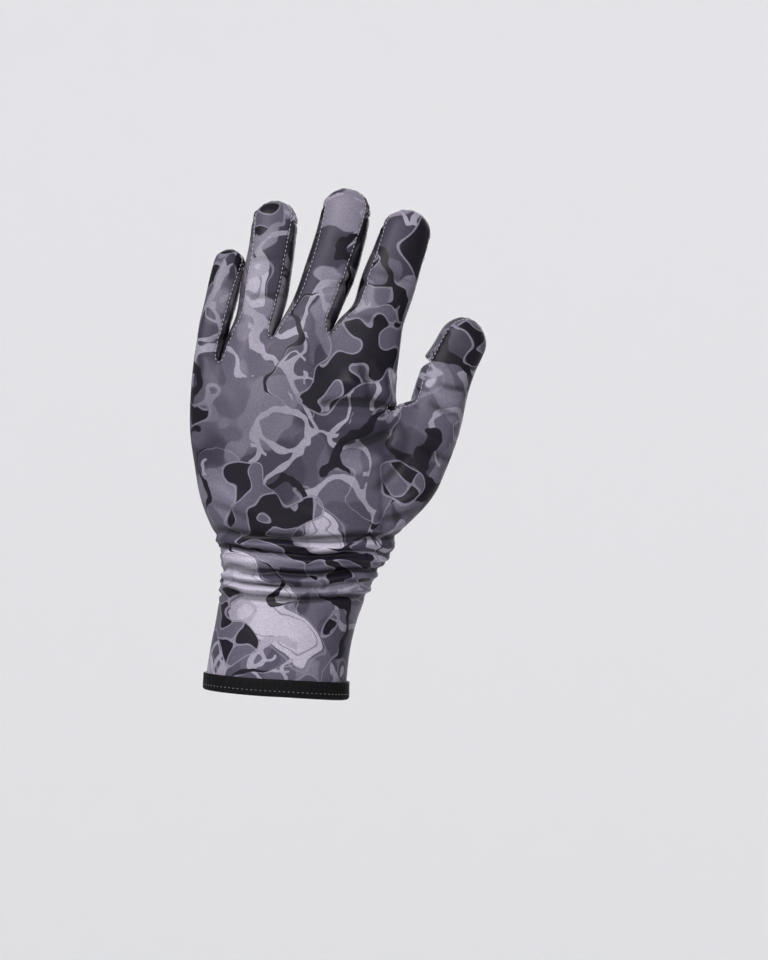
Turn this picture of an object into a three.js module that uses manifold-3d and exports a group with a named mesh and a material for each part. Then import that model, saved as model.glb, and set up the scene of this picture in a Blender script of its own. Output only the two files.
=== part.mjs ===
// Stretch-cloth fishing glove for a left hand, in the form that it has when worn.
// Millimetres. +Z runs from the wrist to the fingertips, the back of the hand faces -Y, the thumb is on +X,
// and the origin is the centre of the wrist opening. The glove is a thin hollow skin, sewn from panels:
// a back, a palm, a side strip between each two fingers, and a two-part thumb front with a slit between them.
import * as THREE from "three";
import { mergeVertices } from "three/addons/utils/BufferGeometryUtils.js";
import Module from "manifold-3d";

const wasm = await Module();
wasm.setup();

// Cloth and seams
const CLOTH = 1.05; // wall of every panel
const SEAM_GAP = 0.32; // clear space between two panels, and between a panel and what lies on it
const STRIP_DRAWN_IN = 0.9; // how far a side strip's edges are drawn in, to clear the folds at the webs
const PATCH_THICKNESS = 0.9;

// Hand without fingers and thumb
const KNUCKLE_RISE = 152; // from the rim to the line of the knuckles
const CUFF = { width: 59, depth: 43 };
const PALM = { width: 87.2, depth: 34.4 };
const KNUCKLE_DEPTH = 24.6;
const CUFF_TILT = 4.4; // how much lower the rim is on the thumb side
const FOLDS_LOW = 38; // height at which the gathered folds start
const FOLDS_HIGH = 67;
const BINDING_HEIGHT = 6.4;
const BINDING_THICKNESS = 0.9;

// Fingers: pitch is the stretch of the knuckle line that a finger takes, and web is how far above that line
// the web on its thumb side lies. Lean is to the thumb side and fall is to the palm side, both in degrees, at
// the root and at the tip. Waist is the share of the width left between two crotches, and taper is the share
// that is lost by the tip.
const FINGERS = [
  {
    name: "little", pitch: 11.8, width: 13.8, length: 49,
    lean: [7, 16], fall: [9, 20], waist: 0.82, taper: 0.06, web: -13.5,
  },
  {
    name: "ring", pitch: 20.8, width: 22.8, length: 65,
    lean: [17, 3], fall: [3, 15], waist: 0.8, taper: 0.2, web: -3.6,
  },
  {
    name: "middle", pitch: 23.9, width: 23.4, length: 66,
    lean: [27, 9], fall: [3, 14], waist: 0.83, taper: 0.15, web: -1.4,
  },
  {
    name: "index", pitch: 31.1, width: 26.4, length: 56,
    lean: [23, 17], fall: [4, 14], waist: 0.9, taper: 0.26, web: -2,
  },
];
FINGERS.forEach((finger, f) => {
  // The waist of an outer finger lies all on its inner edge: -1 keeps the little finger's side, 1 the index's
  finger.straightEdge = (f === FINGERS.length - 1) - (f === 0);
});
const OUTER_EDGE_WEB = -12; // the same on the little finger's outer side
const FINGER_DEPTH_SHARE = 0.88; // depth of a finger for its width
const FINGER_CLEARANCE = 3; // from a crotch to the nearest point of the finger's first full ring
const WAIST_LENGTH = 0.5; // share of a finger's length over which it grows from its waist to its full width
const CROTCH_DIP = 3.6; // how far the cloth sinks between two knuckles
const PALM_WEB_RISE = 0.5; // how much higher the webs are on the palm side

// Thumb
const THUMB = {
  width: 23.2, depth: 22, length: 37.5,
  lean: [12, 38], fall: [4, 2], waist: 1, straightEdge: 0, taper: 0.16,
};
const THUMB_ROOT_HEIGHT = 52; // length of the thumb's root along the palm's edge, from the folds up
const THUMB_RISE = 3; // from the top of the root to the middle of the thumb's first full ring
const THUMB_REACH = 17.6; // from the palm's edge to there
const THUMB_FORWARD = 6; // from the middle of the hand's depth to there, to the palm side
const THUMB_SPREAD = 60; // direction in which the thumb leaves the palm, in degrees from +Z
const SLIT_OPENING = 8;
const SLIT_FLARE = 1.4; // how far the tip cap's free edge stands off

// Grip patches on the palm. aside and up are shares of the palm's width and the knuckles' height, and turn
// is in degrees in the plane of the palm. narrow is the share of the width that is left at the top.
const PATCHES = [
  { name: "fingers", aside: 0.1, up: 0.868, width: 66, height: 18, turn: 11, corner: 8, narrow: 0.95 },
  { name: "thumb", aside: 0.34, up: 0.632, width: 29, height: 42, turn: -20, corner: 8.5, narrow: 0.62 },
  { name: "heel", aside: -0.17, up: 0.605, width: 26, height: 42, turn: 8, corner: 10, narrow: 0.85 },
];

// Mesh steps along each stretch of a ring and of the glove's height
const BACK_STEPS = 4; // across the back of one finger
const PALM_STEPS = 4; // across the palm side of one finger
const SIDE_STEPS = 3; // round a side, or over a web
const FOLD_STEPS = 15;
const CUFF_STEPS = 3;
const THUMB_ROWS = 5; // rows of the palm that the thumb's root takes
const KNUCKLE_ROWS = 3;
const ROOT_STEPS = 4; // rings between the palm's edge and the thumb's first full ring
const FINGER_ROOT_STEPS = 2;
const FINGER_STEPS = 4; // rings between a finger's first full ring and its rounded end
const THUMB_STEPS = 4;

const CORNER_ANGLE = 60; // from the middle of the back or palm to where a side starts, at the wrist
const ROOT_PULL = 0.9; // how strongly the directions at both ends shape a root
const ROUNDNESS = 2.35; // exponent of the rings: 2 is an ellipse, more is squarer

const radians = THREE.MathUtils.degToRad;
const mix = THREE.MathUtils.lerp;
const sum = (list) => list.reduce((total, value) => total + value, 0);

const KNUCKLES = { width: sum(FINGERS.map((finger) => finger.pitch)), depth: KNUCKLE_DEPTH };

// Outline of the hand, a row for each height. Each row is in shares: up of the knuckles' height, width and
// aside of the width that it follows, and back and palm, the distances to the two sides, of the depth.
const OUTLINE = [
  { up: 0, of: CUFF, width: 1, aside: 0, back: 0.5, palm: 0.5 },
  { up: 0.059, of: CUFF, width: 0.997, aside: 0.008, back: 0.495, palm: 0.495 },
  { up: 0.132, of: CUFF, width: 1.003, aside: 0.037, back: 0.488, palm: 0.488 },
  { up: 0.197, of: CUFF, width: 1.003, aside: 0.073, back: 0.479, palm: 0.484 },
  { up: 0.257, of: CUFF, width: 1.034, aside: 0.115, back: 0.465, palm: 0.484 },
  { up: 0.329, of: CUFF, width: 1.108, aside: 0.166, back: 0.451, palm: 0.488 },
  { up: 0.395, of: PALM, width: 0.83, aside: 0.147, back: 0.549, palm: 0.616 },
  { up: 0.447, of: PALM, width: 0.894, aside: 0.144, back: 0.541, palm: 0.616 },
  { up: 0.526, of: PALM, width: 0.94, aside: 0.112, back: 0.523, palm: 0.61 },
  { up: 0.625, of: PALM, width: 0.975, aside: 0.094, back: 0.5, palm: 0.576 },
  { up: 0.737, of: PALM, width: 1, aside: 0.085, back: 0.471, palm: 0.529 },
  { up: 0.822, of: PALM, width: 0.993, aside: 0.083, back: 0.448, palm: 0.488 },
  { up: 0.882, of: PALM, width: 0.986, aside: 0.087, back: 0.424, palm: 0.442 },
  { up: 0.941, of: PALM, width: 0.995, aside: 0.103, back: 0.39, palm: 0.395 },
  { up: 1, of: KNUCKLES, width: 1, aside: 0.119, back: 0.496, palm: 0.504 },
  { up: 1.059, of: KNUCKLES, width: 1, aside: 0.119, back: 0.48, palm: 0.48 },
].map(({ up, of, width, aside, back, palm }) => ({
  z: up * KNUCKLE_RISE,
  width: width * of.width,
  aside: aside * of.width,
  back: back * of.depth,
  palm: palm * of.depth,
}));
const KNUCKLE_LINE = OUTLINE.at(-2); // the row at which the fingers start

// Folds round the wrist. up is a share of the gathered stretch, high and wide are shares of the fold pitch,
// and each runs from one angle to another, where 0 is the middle of the back and 90 the thumb side.
const FOLD_PITCH = (FOLDS_HIGH - FOLDS_LOW) / 5.6;
const FOLDS = [
  { up: 0.95, high: -0.2, wide: 0.42, from: -120, to: 120, slope: 0.0 },
  { up: 0.85, high: 0.26, wide: 0.3, from: -125, to: 100, slope: 0.0 },
  { up: 0.74, high: -0.18, wide: 0.22, from: -125, to: 40, slope: -0.03 },
  { up: 0.63, high: 0.2, wide: 0.42, from: -115, to: 125, slope: 0.0 },
  { up: 0.46, high: -0.24, wide: 0.28, from: -125, to: 125, slope: 0.04 },
  { up: 0.37, high: 0.22, wide: 0.25, from: -100, to: 130, slope: 0.06 },
  { up: 0.28, high: -0.14, wide: 0.2, from: -100, to: 130, slope: 0.05 },
  { up: 0.2, high: 0.2, wide: 0.25, from: -110, to: 125, slope: 0.03 },
  { up: 0.1, high: -0.2, wide: 0.25, from: -110, to: 120, slope: 0.0 },
  { up: 0.7, high: 0.24, wide: 0.5, from: 115, to: 260, slope: 0.25 },
  { up: 0.35, high: 0.22, wide: 0.5, from: 110, to: 250, slope: 0.25 },
];

// Value of one column of a table at a height, on a smooth curve through its rows
function smoothAt(table, column, z) {
  const last = table.length - 1;
  const value = (i) => table[i][column];
  const slope = (i) => {
    const low = Math.max(0, i - 1);
    const high = Math.min(last, i + 1);
    return (value(high) - value(low)) / (table[high].z - table[low].z);
  };
  let i = 0;
  while (i < last - 1 && z > table[i + 1].z) i += 1;
  const step = table[i + 1].z - table[i].z;
  const t = THREE.MathUtils.clamp((z - table[i].z) / step, 0, 1);
  return hermite(value(i), value(i + 1), slope(i) * step, slope(i + 1) * step, t);
}

function hermite(start, end, startSlope, endSlope, t) {
  const t2 = t * t;
  const t3 = t2 * t;
  const fromStart = start * (2 * t3 - 3 * t2 + 1) + startSlope * (t3 - 2 * t2 + t);
  const toEnd = end * (3 * t2 - 2 * t3) + endSlope * (t3 - t2);
  return fromStart + toEnd;
}

// Unit ring of the given roundness: x is to the thumb side and y to the palm side, at an angle from the back
function ringPoint(angle) {
  const power = 2 / ROUNDNESS;
  const round = (value) => Math.sign(value) * Math.abs(value) ** power;
  return { x: round(Math.sin(angle)), y: -round(Math.cos(angle)) };
}

function foldHeight(angle, z) {
  const stretch = FOLDS_HIGH - FOLDS_LOW;
  const degrees = THREE.MathUtils.euclideanModulo(THREE.MathUtils.radToDeg(angle) + 90, 360) - 90;
  const turns = (fold) => [degrees, degrees - 360].find((turn) => turn > fold.from && turn < fold.to);
  return sum(
    FOLDS.map((fold) => {
      const turn = turns(fold);
      if (turn === undefined) return 0;
      const along = (turn - fold.from) / (fold.to - fold.from);
      const height = FOLDS_LOW + stretch * (fold.up + fold.slope * (2 * along - 1));
      const away = (z - height) / (fold.wide * FOLD_PITCH);
      return fold.high * FOLD_PITCH * Math.exp(-away * away) * Math.sin(Math.PI * along) ** 0.5;
    }),
  );
}

function bodyPoint(angle, z) {
  const at = (column) => smoothAt(OUTLINE, column, z);
  const unit = ringPoint(angle);
  const fold = foldHeight(angle, z);
  const halfWidth = at("width") / 2 + fold;
  const depth = (unit.y < 0 ? at("back") : at("palm")) + fold;
  return new THREE.Vector3(at("aside") + halfWidth * unit.x, depth * unit.y, z);
}

// The skin: every point and face of the glove's outside, each face in the name of its panel
const skin = { points: [], faces: [] };
const addPoint = (point) => skin.points.push(point) - 1;
const addFace = (panel, ...corners) => skin.faces.push({ panel, corners });

// Columns of the hand's rings, counted from the little finger's side over the back, the thumb side and the
// palm
const BACK_COLUMNS = BACK_STEPS * FINGERS.length;
const PALM_COLUMNS = PALM_STEPS * FINGERS.length;
const THUMB_SIDE = BACK_COLUMNS; // first column of the thumb side
const PALM_START = THUMB_SIDE + SIDE_STEPS;
const OUTER_SIDE = PALM_START + PALM_COLUMNS;
const COLUMNS = OUTER_SIDE + SIDE_STEPS;

// Knuckle line: where each finger starts and ends on it, as angles, and how high the crotches are
const knuckleEdges = FINGERS.reduce((edges, finger) => [...edges, edges.at(-1) + finger.pitch], [0]);
const OUTER_INSET = 0.1; // share of an outer finger's pitch that lies on the side
const edgeShares = knuckleEdges.map((edge) => (2 * edge) / KNUCKLES.width - 1);
edgeShares[0] += (OUTER_INSET * 2 * FINGERS[0].pitch) / KNUCKLES.width;
edgeShares[FINGERS.length] -= (OUTER_INSET * 2 * FINGERS.at(-1).pitch) / KNUCKLES.width;
const knuckleAngles = edgeShares.map(
  (share) => Math.sign(share) * Math.asin(Math.abs(share) ** (ROUNDNESS / 2)),
);
const webHeights = [OUTER_EDGE_WEB, ...FINGERS.map((finger) => finger.web)].map((web) => KNUCKLE_RISE + web);

// Value at a step between the knuckle edges, where the steps of each finger are even
function alongKnuckles(values, step, stepsPerFinger) {
  const finger = Math.min(FINGERS.length - 1, Math.floor(step / stepsPerFinger));
  return mix(values[finger], values[finger + 1], step / stepsPerFinger - finger);
}

// Angle of a column: even round the wrist, and in line with the fingers at the knuckles
function columnAngle(column, knuckleShare) {
  const corner = radians(CORNER_ANGLE);
  const backAngle = (step) => {
    const atKnuckles = alongKnuckles(knuckleAngles, step, BACK_STEPS);
    return mix(mix(-corner, corner, step / BACK_COLUMNS), atKnuckles, knuckleShare);
  };
  const palmAngle = (step) => {
    const mirrored = alongKnuckles(knuckleAngles, PALM_COLUMNS - step, PALM_STEPS);
    return Math.PI - mix(mix(corner, -corner, step / PALM_COLUMNS), mirrored, knuckleShare);
  };
  if (column <= THUMB_SIDE) return backAngle(column);
  if (column < PALM_START) {
    return mix(backAngle(BACK_COLUMNS), palmAngle(0), (column - THUMB_SIDE) / SIDE_STEPS);
  }
  if (column <= OUTER_SIDE) return palmAngle(column - PALM_START);
  return mix(palmAngle(PALM_COLUMNS), backAngle(0) + 2 * Math.PI, (column - OUTER_SIDE) / SIDE_STEPS);
}

// Height of the knuckle line at a column
function knuckleHeight(column) {
  const back = (step) => alongKnuckles(webHeights, step, BACK_STEPS);
  const palm = (step) => alongKnuckles(webHeights, PALM_COLUMNS - step, PALM_STEPS) + PALM_WEB_RISE;
  if (column <= THUMB_SIDE) return back(column);
  if (column < PALM_START) return mix(back(BACK_COLUMNS), palm(0), (column - THUMB_SIDE) / SIDE_STEPS);
  if (column <= OUTER_SIDE) return palm(column - PALM_START);
  return mix(palm(PALM_COLUMNS), back(0), (column - OUTER_SIDE) / SIDE_STEPS);
}

// 1 over a crotch and 0 over the middle of a finger, for the cloth's dip between the knuckles
function crotchShare(column) {
  const onBack = column > 0 && column < THUMB_SIDE;
  const onPalm = column > PALM_START && column < OUTER_SIDE;
  if (!onBack && !onPalm) return 0;
  const step = onBack ? column / BACK_STEPS : (column - PALM_START) / PALM_STEPS;
  const nearOuterEdge = step < 0.5 || step > FINGERS.length - 0.5;
  return nearOuterEdge ? 0 : Math.cos(Math.PI * step) ** 2;
}

// Rows of the hand's rings, from the rim to the knuckle line
const THUMB_ROOT_TOP = FOLDS_HIGH + THUMB_ROOT_HEIGHT;
const evenly = (from, to, steps) => Array.from({ length: steps }, (_, i) => mix(from, to, (i + 1) / steps));
const ROWS = [
  ...[0, BINDING_HEIGHT, ...evenly(BINDING_HEIGHT, FOLDS_LOW, CUFF_STEPS)],
  ...evenly(FOLDS_LOW, FOLDS_HIGH, FOLD_STEPS),
  ...evenly(FOLDS_HIGH, THUMB_ROOT_TOP, THUMB_ROWS),
].map((z) => ({ z, toKnuckles: 0 }));
const rootStart = ROWS.length - 1 - THUMB_ROWS;
const rootEnd = ROWS.length - 1;
ROWS.push(...evenly(0, 1, KNUCKLE_ROWS).map((toKnuckles) => ({ z: THUMB_ROOT_TOP, toKnuckles })));

function bodyRing(row) {
  const flat = 1 - THREE.MathUtils.smoothstep(row.z, 0, FOLDS_LOW);
  const knuckleShare = THREE.MathUtils.smoothstep(
    mix(row.z, KNUCKLE_LINE.z, row.toKnuckles),
    FOLDS_HIGH,
    KNUCKLE_LINE.z,
  );
  return Array.from({ length: COLUMNS }, (_, column) => {
    const angle = columnAngle(column, knuckleShare);
    const point = bodyPoint(angle, mix(row.z, knuckleHeight(column), row.toKnuckles));
    point.z -= (flat * CUFF_TILT * Math.sin(angle)) / 2;
    point.y -= Math.sign(point.y) * CROTCH_DIP * crotchShare(column) * row.toKnuckles ** 2;
    return addPoint(point);
  });
}

const bodyRings = ROWS.map(bodyRing);
const onThumbSide = (column) => column >= THUMB_SIDE && column < PALM_START;
const onPalmSide = (column) => column >= PALM_START && column < OUTER_SIDE;
for (let row = 0; row < ROWS.length - 1; row += 1) {
  for (let column = 0; column < COLUMNS; column += 1) {
    const inThumbRoot = onThumbSide(column) && row >= rootStart && row < rootEnd;
    if (inThumbRoot) continue;
    const next = (column + 1) % COLUMNS;
    const [low, high] = [bodyRings[row], bodyRings[row + 1]];
    const panel = onPalmSide(column) ? "palm_panel" : "back_panel";
    addFace(panel, low[column], low[next], high[next], high[column]);
  }
}

// Joins two rings of as many points with one face for each step. panelOf gives a step's panel.
function joinRings(low, high, panelOf) {
  low.forEach((_, i) => {
    const next = (i + 1) % low.length;
    addFace(panelOf(i), low[i], low[next], high[next], high[i]);
  });
}

// Rings of points on smooth curves from a loop on the hand to a limb's first full ring
function rootRings(loop, firstRing, fromDirection, toDirection, steps) {
  return evenly(0, 1, steps).map((t) =>
    firstRing.map((end, i) => {
      const start = skin.points[loop[i]];
      const pull = ROOT_PULL * start.distanceTo(end);
      const along = (axis) => {
        const slopes = [fromDirection[axis] * pull, toDirection[axis] * pull];
        return hermite(start[axis], end[axis], ...slopes, t);
      };
      return new THREE.Vector3(along("x"), along("y"), along("z"));
    }),
  );
}

// A limb is a finger or the thumb: rings along an axis that leans and falls evenly from its root to its tip
function limbFrame(limb, root, distance) {
  const STEPS = 24;
  const centre = root.clone();
  const direction = new THREE.Vector3();
  const turnTo = (share) => {
    const lean = radians(mix(...limb.lean, share));
    const fall = radians(mix(...limb.fall, share));
    direction.set(Math.sin(lean) * Math.cos(fall), Math.sin(fall), Math.cos(lean) * Math.cos(fall));
  };
  const length = distance / STEPS;
  for (let step = 0; step < STEPS; step += 1) {
    turnTo(((step + 0.5) * length) / limb.length);
    centre.addScaledVector(direction, length);
  }
  turnTo(distance / limb.length);
  const lean = radians(mix(...limb.lean, distance / limb.length));
  const side = new THREE.Vector3(Math.cos(lean), 0, -Math.sin(lean));
  return { centre, direction, side, palm: direction.clone().cross(side) };
}

const capLength = (limb) => 0.5 * limb.width * (1 - limb.taper);

function waistShare(limb, distance) {
  return mix(limb.waist, 1, THREE.MathUtils.smoothstep(distance, 0, WAIST_LENGTH * limb.length));
}

// Share of its full width that a limb has at a distance from its root, with the rounded end
function limbShare(limb, distance) {
  const cap = capLength(limb);
  const intoCap = Math.max(0, distance - (limb.length - cap)) / cap;
  const taper = 1 - (limb.taper * distance) / limb.length;
  return taper * waistShare(limb, distance) * Math.sqrt(1 - Math.min(1, intoCap) ** 2);
}

function limbPoint(limb, root, distance, angle, depth) {
  const frame = limbFrame(limb, root, distance);
  const share = limbShare(limb, distance);
  const unit = ringPoint(angle);
  const straightEdge = limb.straightEdge * (1 - waistShare(limb, distance));
  return frame.centre
    .addScaledVector(frame.side, 0.5 * limb.width * (share * unit.x + straightEdge))
    .addScaledVector(frame.palm, 0.5 * depth * share * unit.y);
}

// Distances of a limb's rings from its root: even up to the rounded end, then closer together
const CAP_SHARES = [0.45, 0.78, 0.95];
function limbStations(limb, first, steps) {
  const cap = capLength(limb);
  const straight = limb.length - cap;
  return [first, ...evenly(first, straight, steps), ...CAP_SHARES.map((share) => straight + share * cap)];
}

// Closes a limb over its last ring with a point at its tip
function closeTip(limb, root, ring, panelOf) {
  const tip = addPoint(limbPoint(limb, root, limb.length, 0, 0));
  ring.forEach((point, i) => addFace(panelOf(i), point, ring[(i + 1) % ring.length], tip));
}

// Angles at which a finger's back, sides and palm side meet. A seam runs along each, and the sides
// narrow towards the tip.
const SEAMS = { backOuter: -52, backThumb: 36, palmThumb: 112, palmOuter: 230 };
const OUTER_SEAMS = { little: { backOuter: -60 }, index: { backThumb: 60 } };
const STRIP_END_SHARE = 0.45; // width of a side strip at its end, for its width at the crotch

function fingerAngles(finger, alongShare) {
  const seams = { ...SEAMS, ...OUTER_SEAMS[finger.name] };
  const narrowing = mix(1, STRIP_END_SHARE, THREE.MathUtils.smoothstep(alongShare, 0.5, 1));
  const narrow = (from, to) => {
    const middle = (from + to) / 2;
    return [mix(middle, from, narrowing), mix(middle, to, narrowing)];
  };
  const [backThumb, palmThumb] = narrow(seams.backThumb, seams.palmThumb);
  const [palmOuter, backOuter] = narrow(seams.palmOuter, seams.backOuter + 360);
  const stretch = (from, to, steps) =>
    Array.from({ length: steps }, (_, i) => radians(mix(from, to, i / steps)));
  return [
    ...stretch(backOuter - 360, backThumb, BACK_STEPS),
    ...stretch(backThumb, palmThumb, SIDE_STEPS),
    ...stretch(palmThumb, palmOuter, PALM_STEPS),
    ...stretch(palmOuter, backOuter, SIDE_STEPS),
  ];
}

// Points over each web, between the back and the palm side of a crotch
const knuckleRing = bodyRings.at(-1);
const webs = FINGERS.slice(0, -1).map((_, finger) => {
  const back = knuckleRing[(finger + 1) * BACK_STEPS];
  const palm = knuckleRing[OUTER_SIDE - (finger + 1) * PALM_STEPS];
  const [from, to] = [skin.points[back], skin.points[palm]];
  const between = evenly(0, 1, SIDE_STEPS).slice(0, -1);
  return [back, ...between.map((share) => addPoint(from.clone().lerp(to, share))), palm];
});

FINGERS.forEach((finger, f) => {
  const column = (i) => knuckleRing[i % COLUMNS];
  const columns = (from, to) => Array.from({ length: to - from }, (_, i) => column(from + i));
  const palmFrom = OUTER_SIDE - (f + 1) * PALM_STEPS;
  const isFirst = f === 0;
  const isLast = f === FINGERS.length - 1;
  const thumbWards = isLast ? columns(THUMB_SIDE, PALM_START) : webs[f].slice(0, -1);
  const outWards = isFirst ? columns(OUTER_SIDE, COLUMNS) : webs[f - 1].slice(1).reverse();
  const base = [
    ...columns(f * BACK_STEPS, (f + 1) * BACK_STEPS),
    ...thumbWards,
    ...columns(palmFrom, palmFrom + PALM_STEPS),
    ...outWards,
  ];

  const sideStart = BACK_STEPS;
  const palmStart = sideStart + SIDE_STEPS;
  const outerStart = palmStart + PALM_STEPS;
  const strip = (first) => `side_strip_${FINGERS[first].name}_${FINGERS[first + 1].name}`;
  const panelOf = (i) => {
    if (i < sideStart) return "back_panel";
    if (i < palmStart) return isLast ? "back_panel" : strip(f);
    if (i < outerStart) return "palm_panel";
    return isFirst ? "back_panel" : strip(f - 1);
  };
  const tipPanelOf = (i) => (i < sideStart ? "back_panel" : "palm_panel");

  const middle = (knuckleEdges[f] + knuckleEdges[f + 1] - KNUCKLES.width) / 2 + KNUCKLE_LINE.aside;
  const height = (webHeights[f] + webHeights[f + 1] + PALM_WEB_RISE) / 2;
  const root = new THREE.Vector3(middle, 0, height);
  const lean = radians(finger.lean[0]);
  const clearHeight = webHeights[f + 1] + PALM_WEB_RISE + FINGER_CLEARANCE;
  const clearance = (clearHeight - height + 0.5 * finger.width * Math.sin(lean)) / Math.cos(lean);
  const stations = limbStations(finger, clearance, FINGER_STEPS);
  const fingerRing = (distance) =>
    fingerAngles(finger, distance / finger.length).map((angle) =>
      limbPoint(finger, root, distance, angle, FINGER_DEPTH_SHARE * finger.width),
    );
  const up = new THREE.Vector3(0, 0, 1);
  const fullDirection = limbFrame(finger, root, clearance).direction;
  const rings = [
    ...rootRings(base, fingerRing(clearance), up, fullDirection, FINGER_ROOT_STEPS),
    ...stations.slice(1).map(fingerRing),
  ].map((points) => points.map(addPoint));
  const stripRings = rings.length - 2; // the side strips end where the tip's rounding starts to close
  [base, ...rings].forEach((ring, i, all) => {
    if (i > 0) joinRings(all[i - 1], ring, i < stripRings ? panelOf : tipPanelOf);
  });
  closeTip(finger, root, rings.at(-1), tipPanelOf);
});

// Thumb: its rings have a back, an outer side, a palm side and an inner side towards the index finger
const THUMB_CORNERS = [50, 130, 230, 310, 410];
const THUMB_SIDES = [SIDE_STEPS, THUMB_ROWS, SIDE_STEPS, THUMB_ROWS];
const thumbAngles = THUMB_SIDES.flatMap((steps, k) =>
  Array.from({ length: steps }, (_, i) => radians(mix(THUMB_CORNERS[k], THUMB_CORNERS[k + 1], i / steps))),
);
const FRONT_START = SIDE_STEPS; // the front panel takes the palm side and the inner side
const FRONT_END = FRONT_START + THUMB_ROWS + SIDE_STEPS;
const palmEdge = smoothAt(OUTLINE, "aside", THUMB_ROOT_TOP) + smoothAt(OUTLINE, "width", THUMB_ROOT_TOP) / 2;
const thumbRoot = new THREE.Vector3(palmEdge + THUMB_REACH, THUMB_FORWARD, THUMB_ROOT_TOP + THUMB_RISE);
const thumbRings = (distance) =>
  thumbAngles.map((angle) => limbPoint(THUMB, thumbRoot, distance, angle, THUMB.depth));

const rootRows = Array.from({ length: THUMB_ROWS }, (_, i) => i);
const rootLoop = [
  ...bodyRings[rootStart].slice(THUMB_SIDE, PALM_START),
  ...rootRows.map((i) => bodyRings[rootStart + i][PALM_START]),
  ...bodyRings[rootEnd].slice(THUMB_SIDE + 1, PALM_START + 1).reverse(),
  ...rootRows.map((i) => bodyRings[rootEnd - i][THUMB_SIDE]),
];

const spread = new THREE.Vector3(Math.sin(radians(THUMB_SPREAD)), 0, Math.cos(radians(THUMB_SPREAD)));
const thumbStart = limbFrame(THUMB, thumbRoot, 0).direction;
const thumbRootRings = rootRings(rootLoop, thumbRings(0), spread, thumbStart, ROOT_STEPS);

const thumbPanels = (front) => (i) => (i >= FRONT_START && i < FRONT_END ? front : "back_panel");
const stations = limbStations(THUMB, 0, THUMB_STEPS).slice(1);
const SLIT_STATION = 1; // the slit lies on this ring
const SLIT_BELOW = 0.65; // share of the opening that lies on the hand's side of that ring
let lowRing = rootLoop;
thumbRootRings.forEach((points) => {
  const ring = points.map(addPoint);
  joinRings(lowRing, ring, thumbPanels("thumb_front"));
  lowRing = ring;
});
stations.forEach((distance, k) => {
  const frame = limbFrame(THUMB, thumbRoot, distance);
  const points = thumbRings(distance);
  const front = k > SLIT_STATION ? "thumb_tip_cap" : "thumb_front";
  const ring = points.map(addPoint);
  if (k !== SLIT_STATION) {
    joinRings(lowRing, ring, thumbPanels(front));
    lowRing = ring;
    return;
  }
  // Inside the front, the ring is double: the front's edge below the slit, and the cap's above it
  const gape = (i) => Math.max(0, Math.sin((Math.PI * (i - FRONT_START)) / (FRONT_END - FRONT_START)));
  const inFront = (i) => i > FRONT_START && i < FRONT_END;
  const edge = (i, share, flare) => {
    const outwards = points[i].clone().sub(frame.centre).normalize();
    const moved = points[i].clone().addScaledVector(frame.direction, share * SLIT_OPENING * gape(i));
    return addPoint(moved.addScaledVector(outwards, flare * gape(i)));
  };
  const below = ring.map((point, i) => (inFront(i) ? edge(i, -SLIT_BELOW, 0) : point));
  const above = ring.map((point, i) => (inFront(i) ? edge(i, 1 - SLIT_BELOW, SLIT_FLARE) : point));
  joinRings(lowRing, below, thumbPanels(front));
  lowRing = above;
});
closeTip(THUMB, thumbRoot, lowRing, thumbPanels("thumb_tip_cap"));

// Outward normal of the skin at each of its points
const normals = skin.points.map(() => new THREE.Vector3());
function faceNormal(corners) {
  const [a, b, c, d = a] = corners.map((i) => skin.points[i]);
  return new THREE.Vector3().subVectors(c, a).cross(new THREE.Vector3().subVectors(d, b));
}
skin.faces.forEach(({ corners }) => {
  corners.forEach((i) => normals[i].add(faceNormal(corners)));
});
normals.forEach((normal) => normal.normalize());

// A closed wall between two offsets of some of the skin's faces. Its edges are drawn in to leave a gap at
// the seams.
function wallGeometry(faces, low, high, drawnIn = SEAM_GAP / 2) {
  const edges = new Map();
  const used = [...new Set(faces.flatMap(({ corners }) => corners))];
  const pull = new Map(used.map((i) => [i, new THREE.Vector3()]));
  const ownNormals = new Map(used.map((i) => [i, new THREE.Vector3()]));
  faces.forEach(({ corners }) => {
    const middle = new THREE.Vector3();
    corners.forEach((i) => middle.addScaledVector(skin.points[i], 1 / corners.length));
    corners.forEach((from, k) => {
      const to = corners[(k + 1) % corners.length];
      if (!edges.delete(`${to},${from}`)) edges.set(`${from},${to}`, [from, to]);
      pull.get(from).add(middle.clone().sub(skin.points[from]));
      ownNormals.get(from).add(faceNormal(corners));
    });
  });
  const onEdge = new Set([...edges.values()].flat());
  const place = (i, offset) => {
    const point = skin.points[i].clone().addScaledVector(normals[i], offset);
    if (!onEdge.has(i)) return point;
    const inwards = pull.get(i).clone().projectOnPlane(ownNormals.get(i).normalize()).normalize();
    return point.addScaledVector(inwards, drawnIn);
  };

  const order = new Map(used.map((i, k) => [i, k]));
  const positions = [high, low].flatMap((offset) => used.flatMap((i) => place(i, offset).toArray()));
  const outer = (i) => order.get(i);
  const inner = (i) => order.get(i) + used.length;
  const triangles = [];
  faces.forEach(({ corners: [a, b, c, d] }) => {
    const halves = d === undefined ? [[a, b, c]] : [[a, b, c], [a, c, d]];
    halves.forEach(([p, q, r]) => triangles.push(outer(p), outer(q), outer(r), inner(p), inner(r), inner(q)));
  });
  edges.forEach(([from, to]) => {
    triangles.push(outer(to), outer(from), inner(from), outer(to), inner(from), inner(to));
  });
  return new THREE.BufferGeometry()
    .setAttribute("position", new THREE.Float32BufferAttribute(positions, 3))
    .setIndex(triangles);
}

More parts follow.
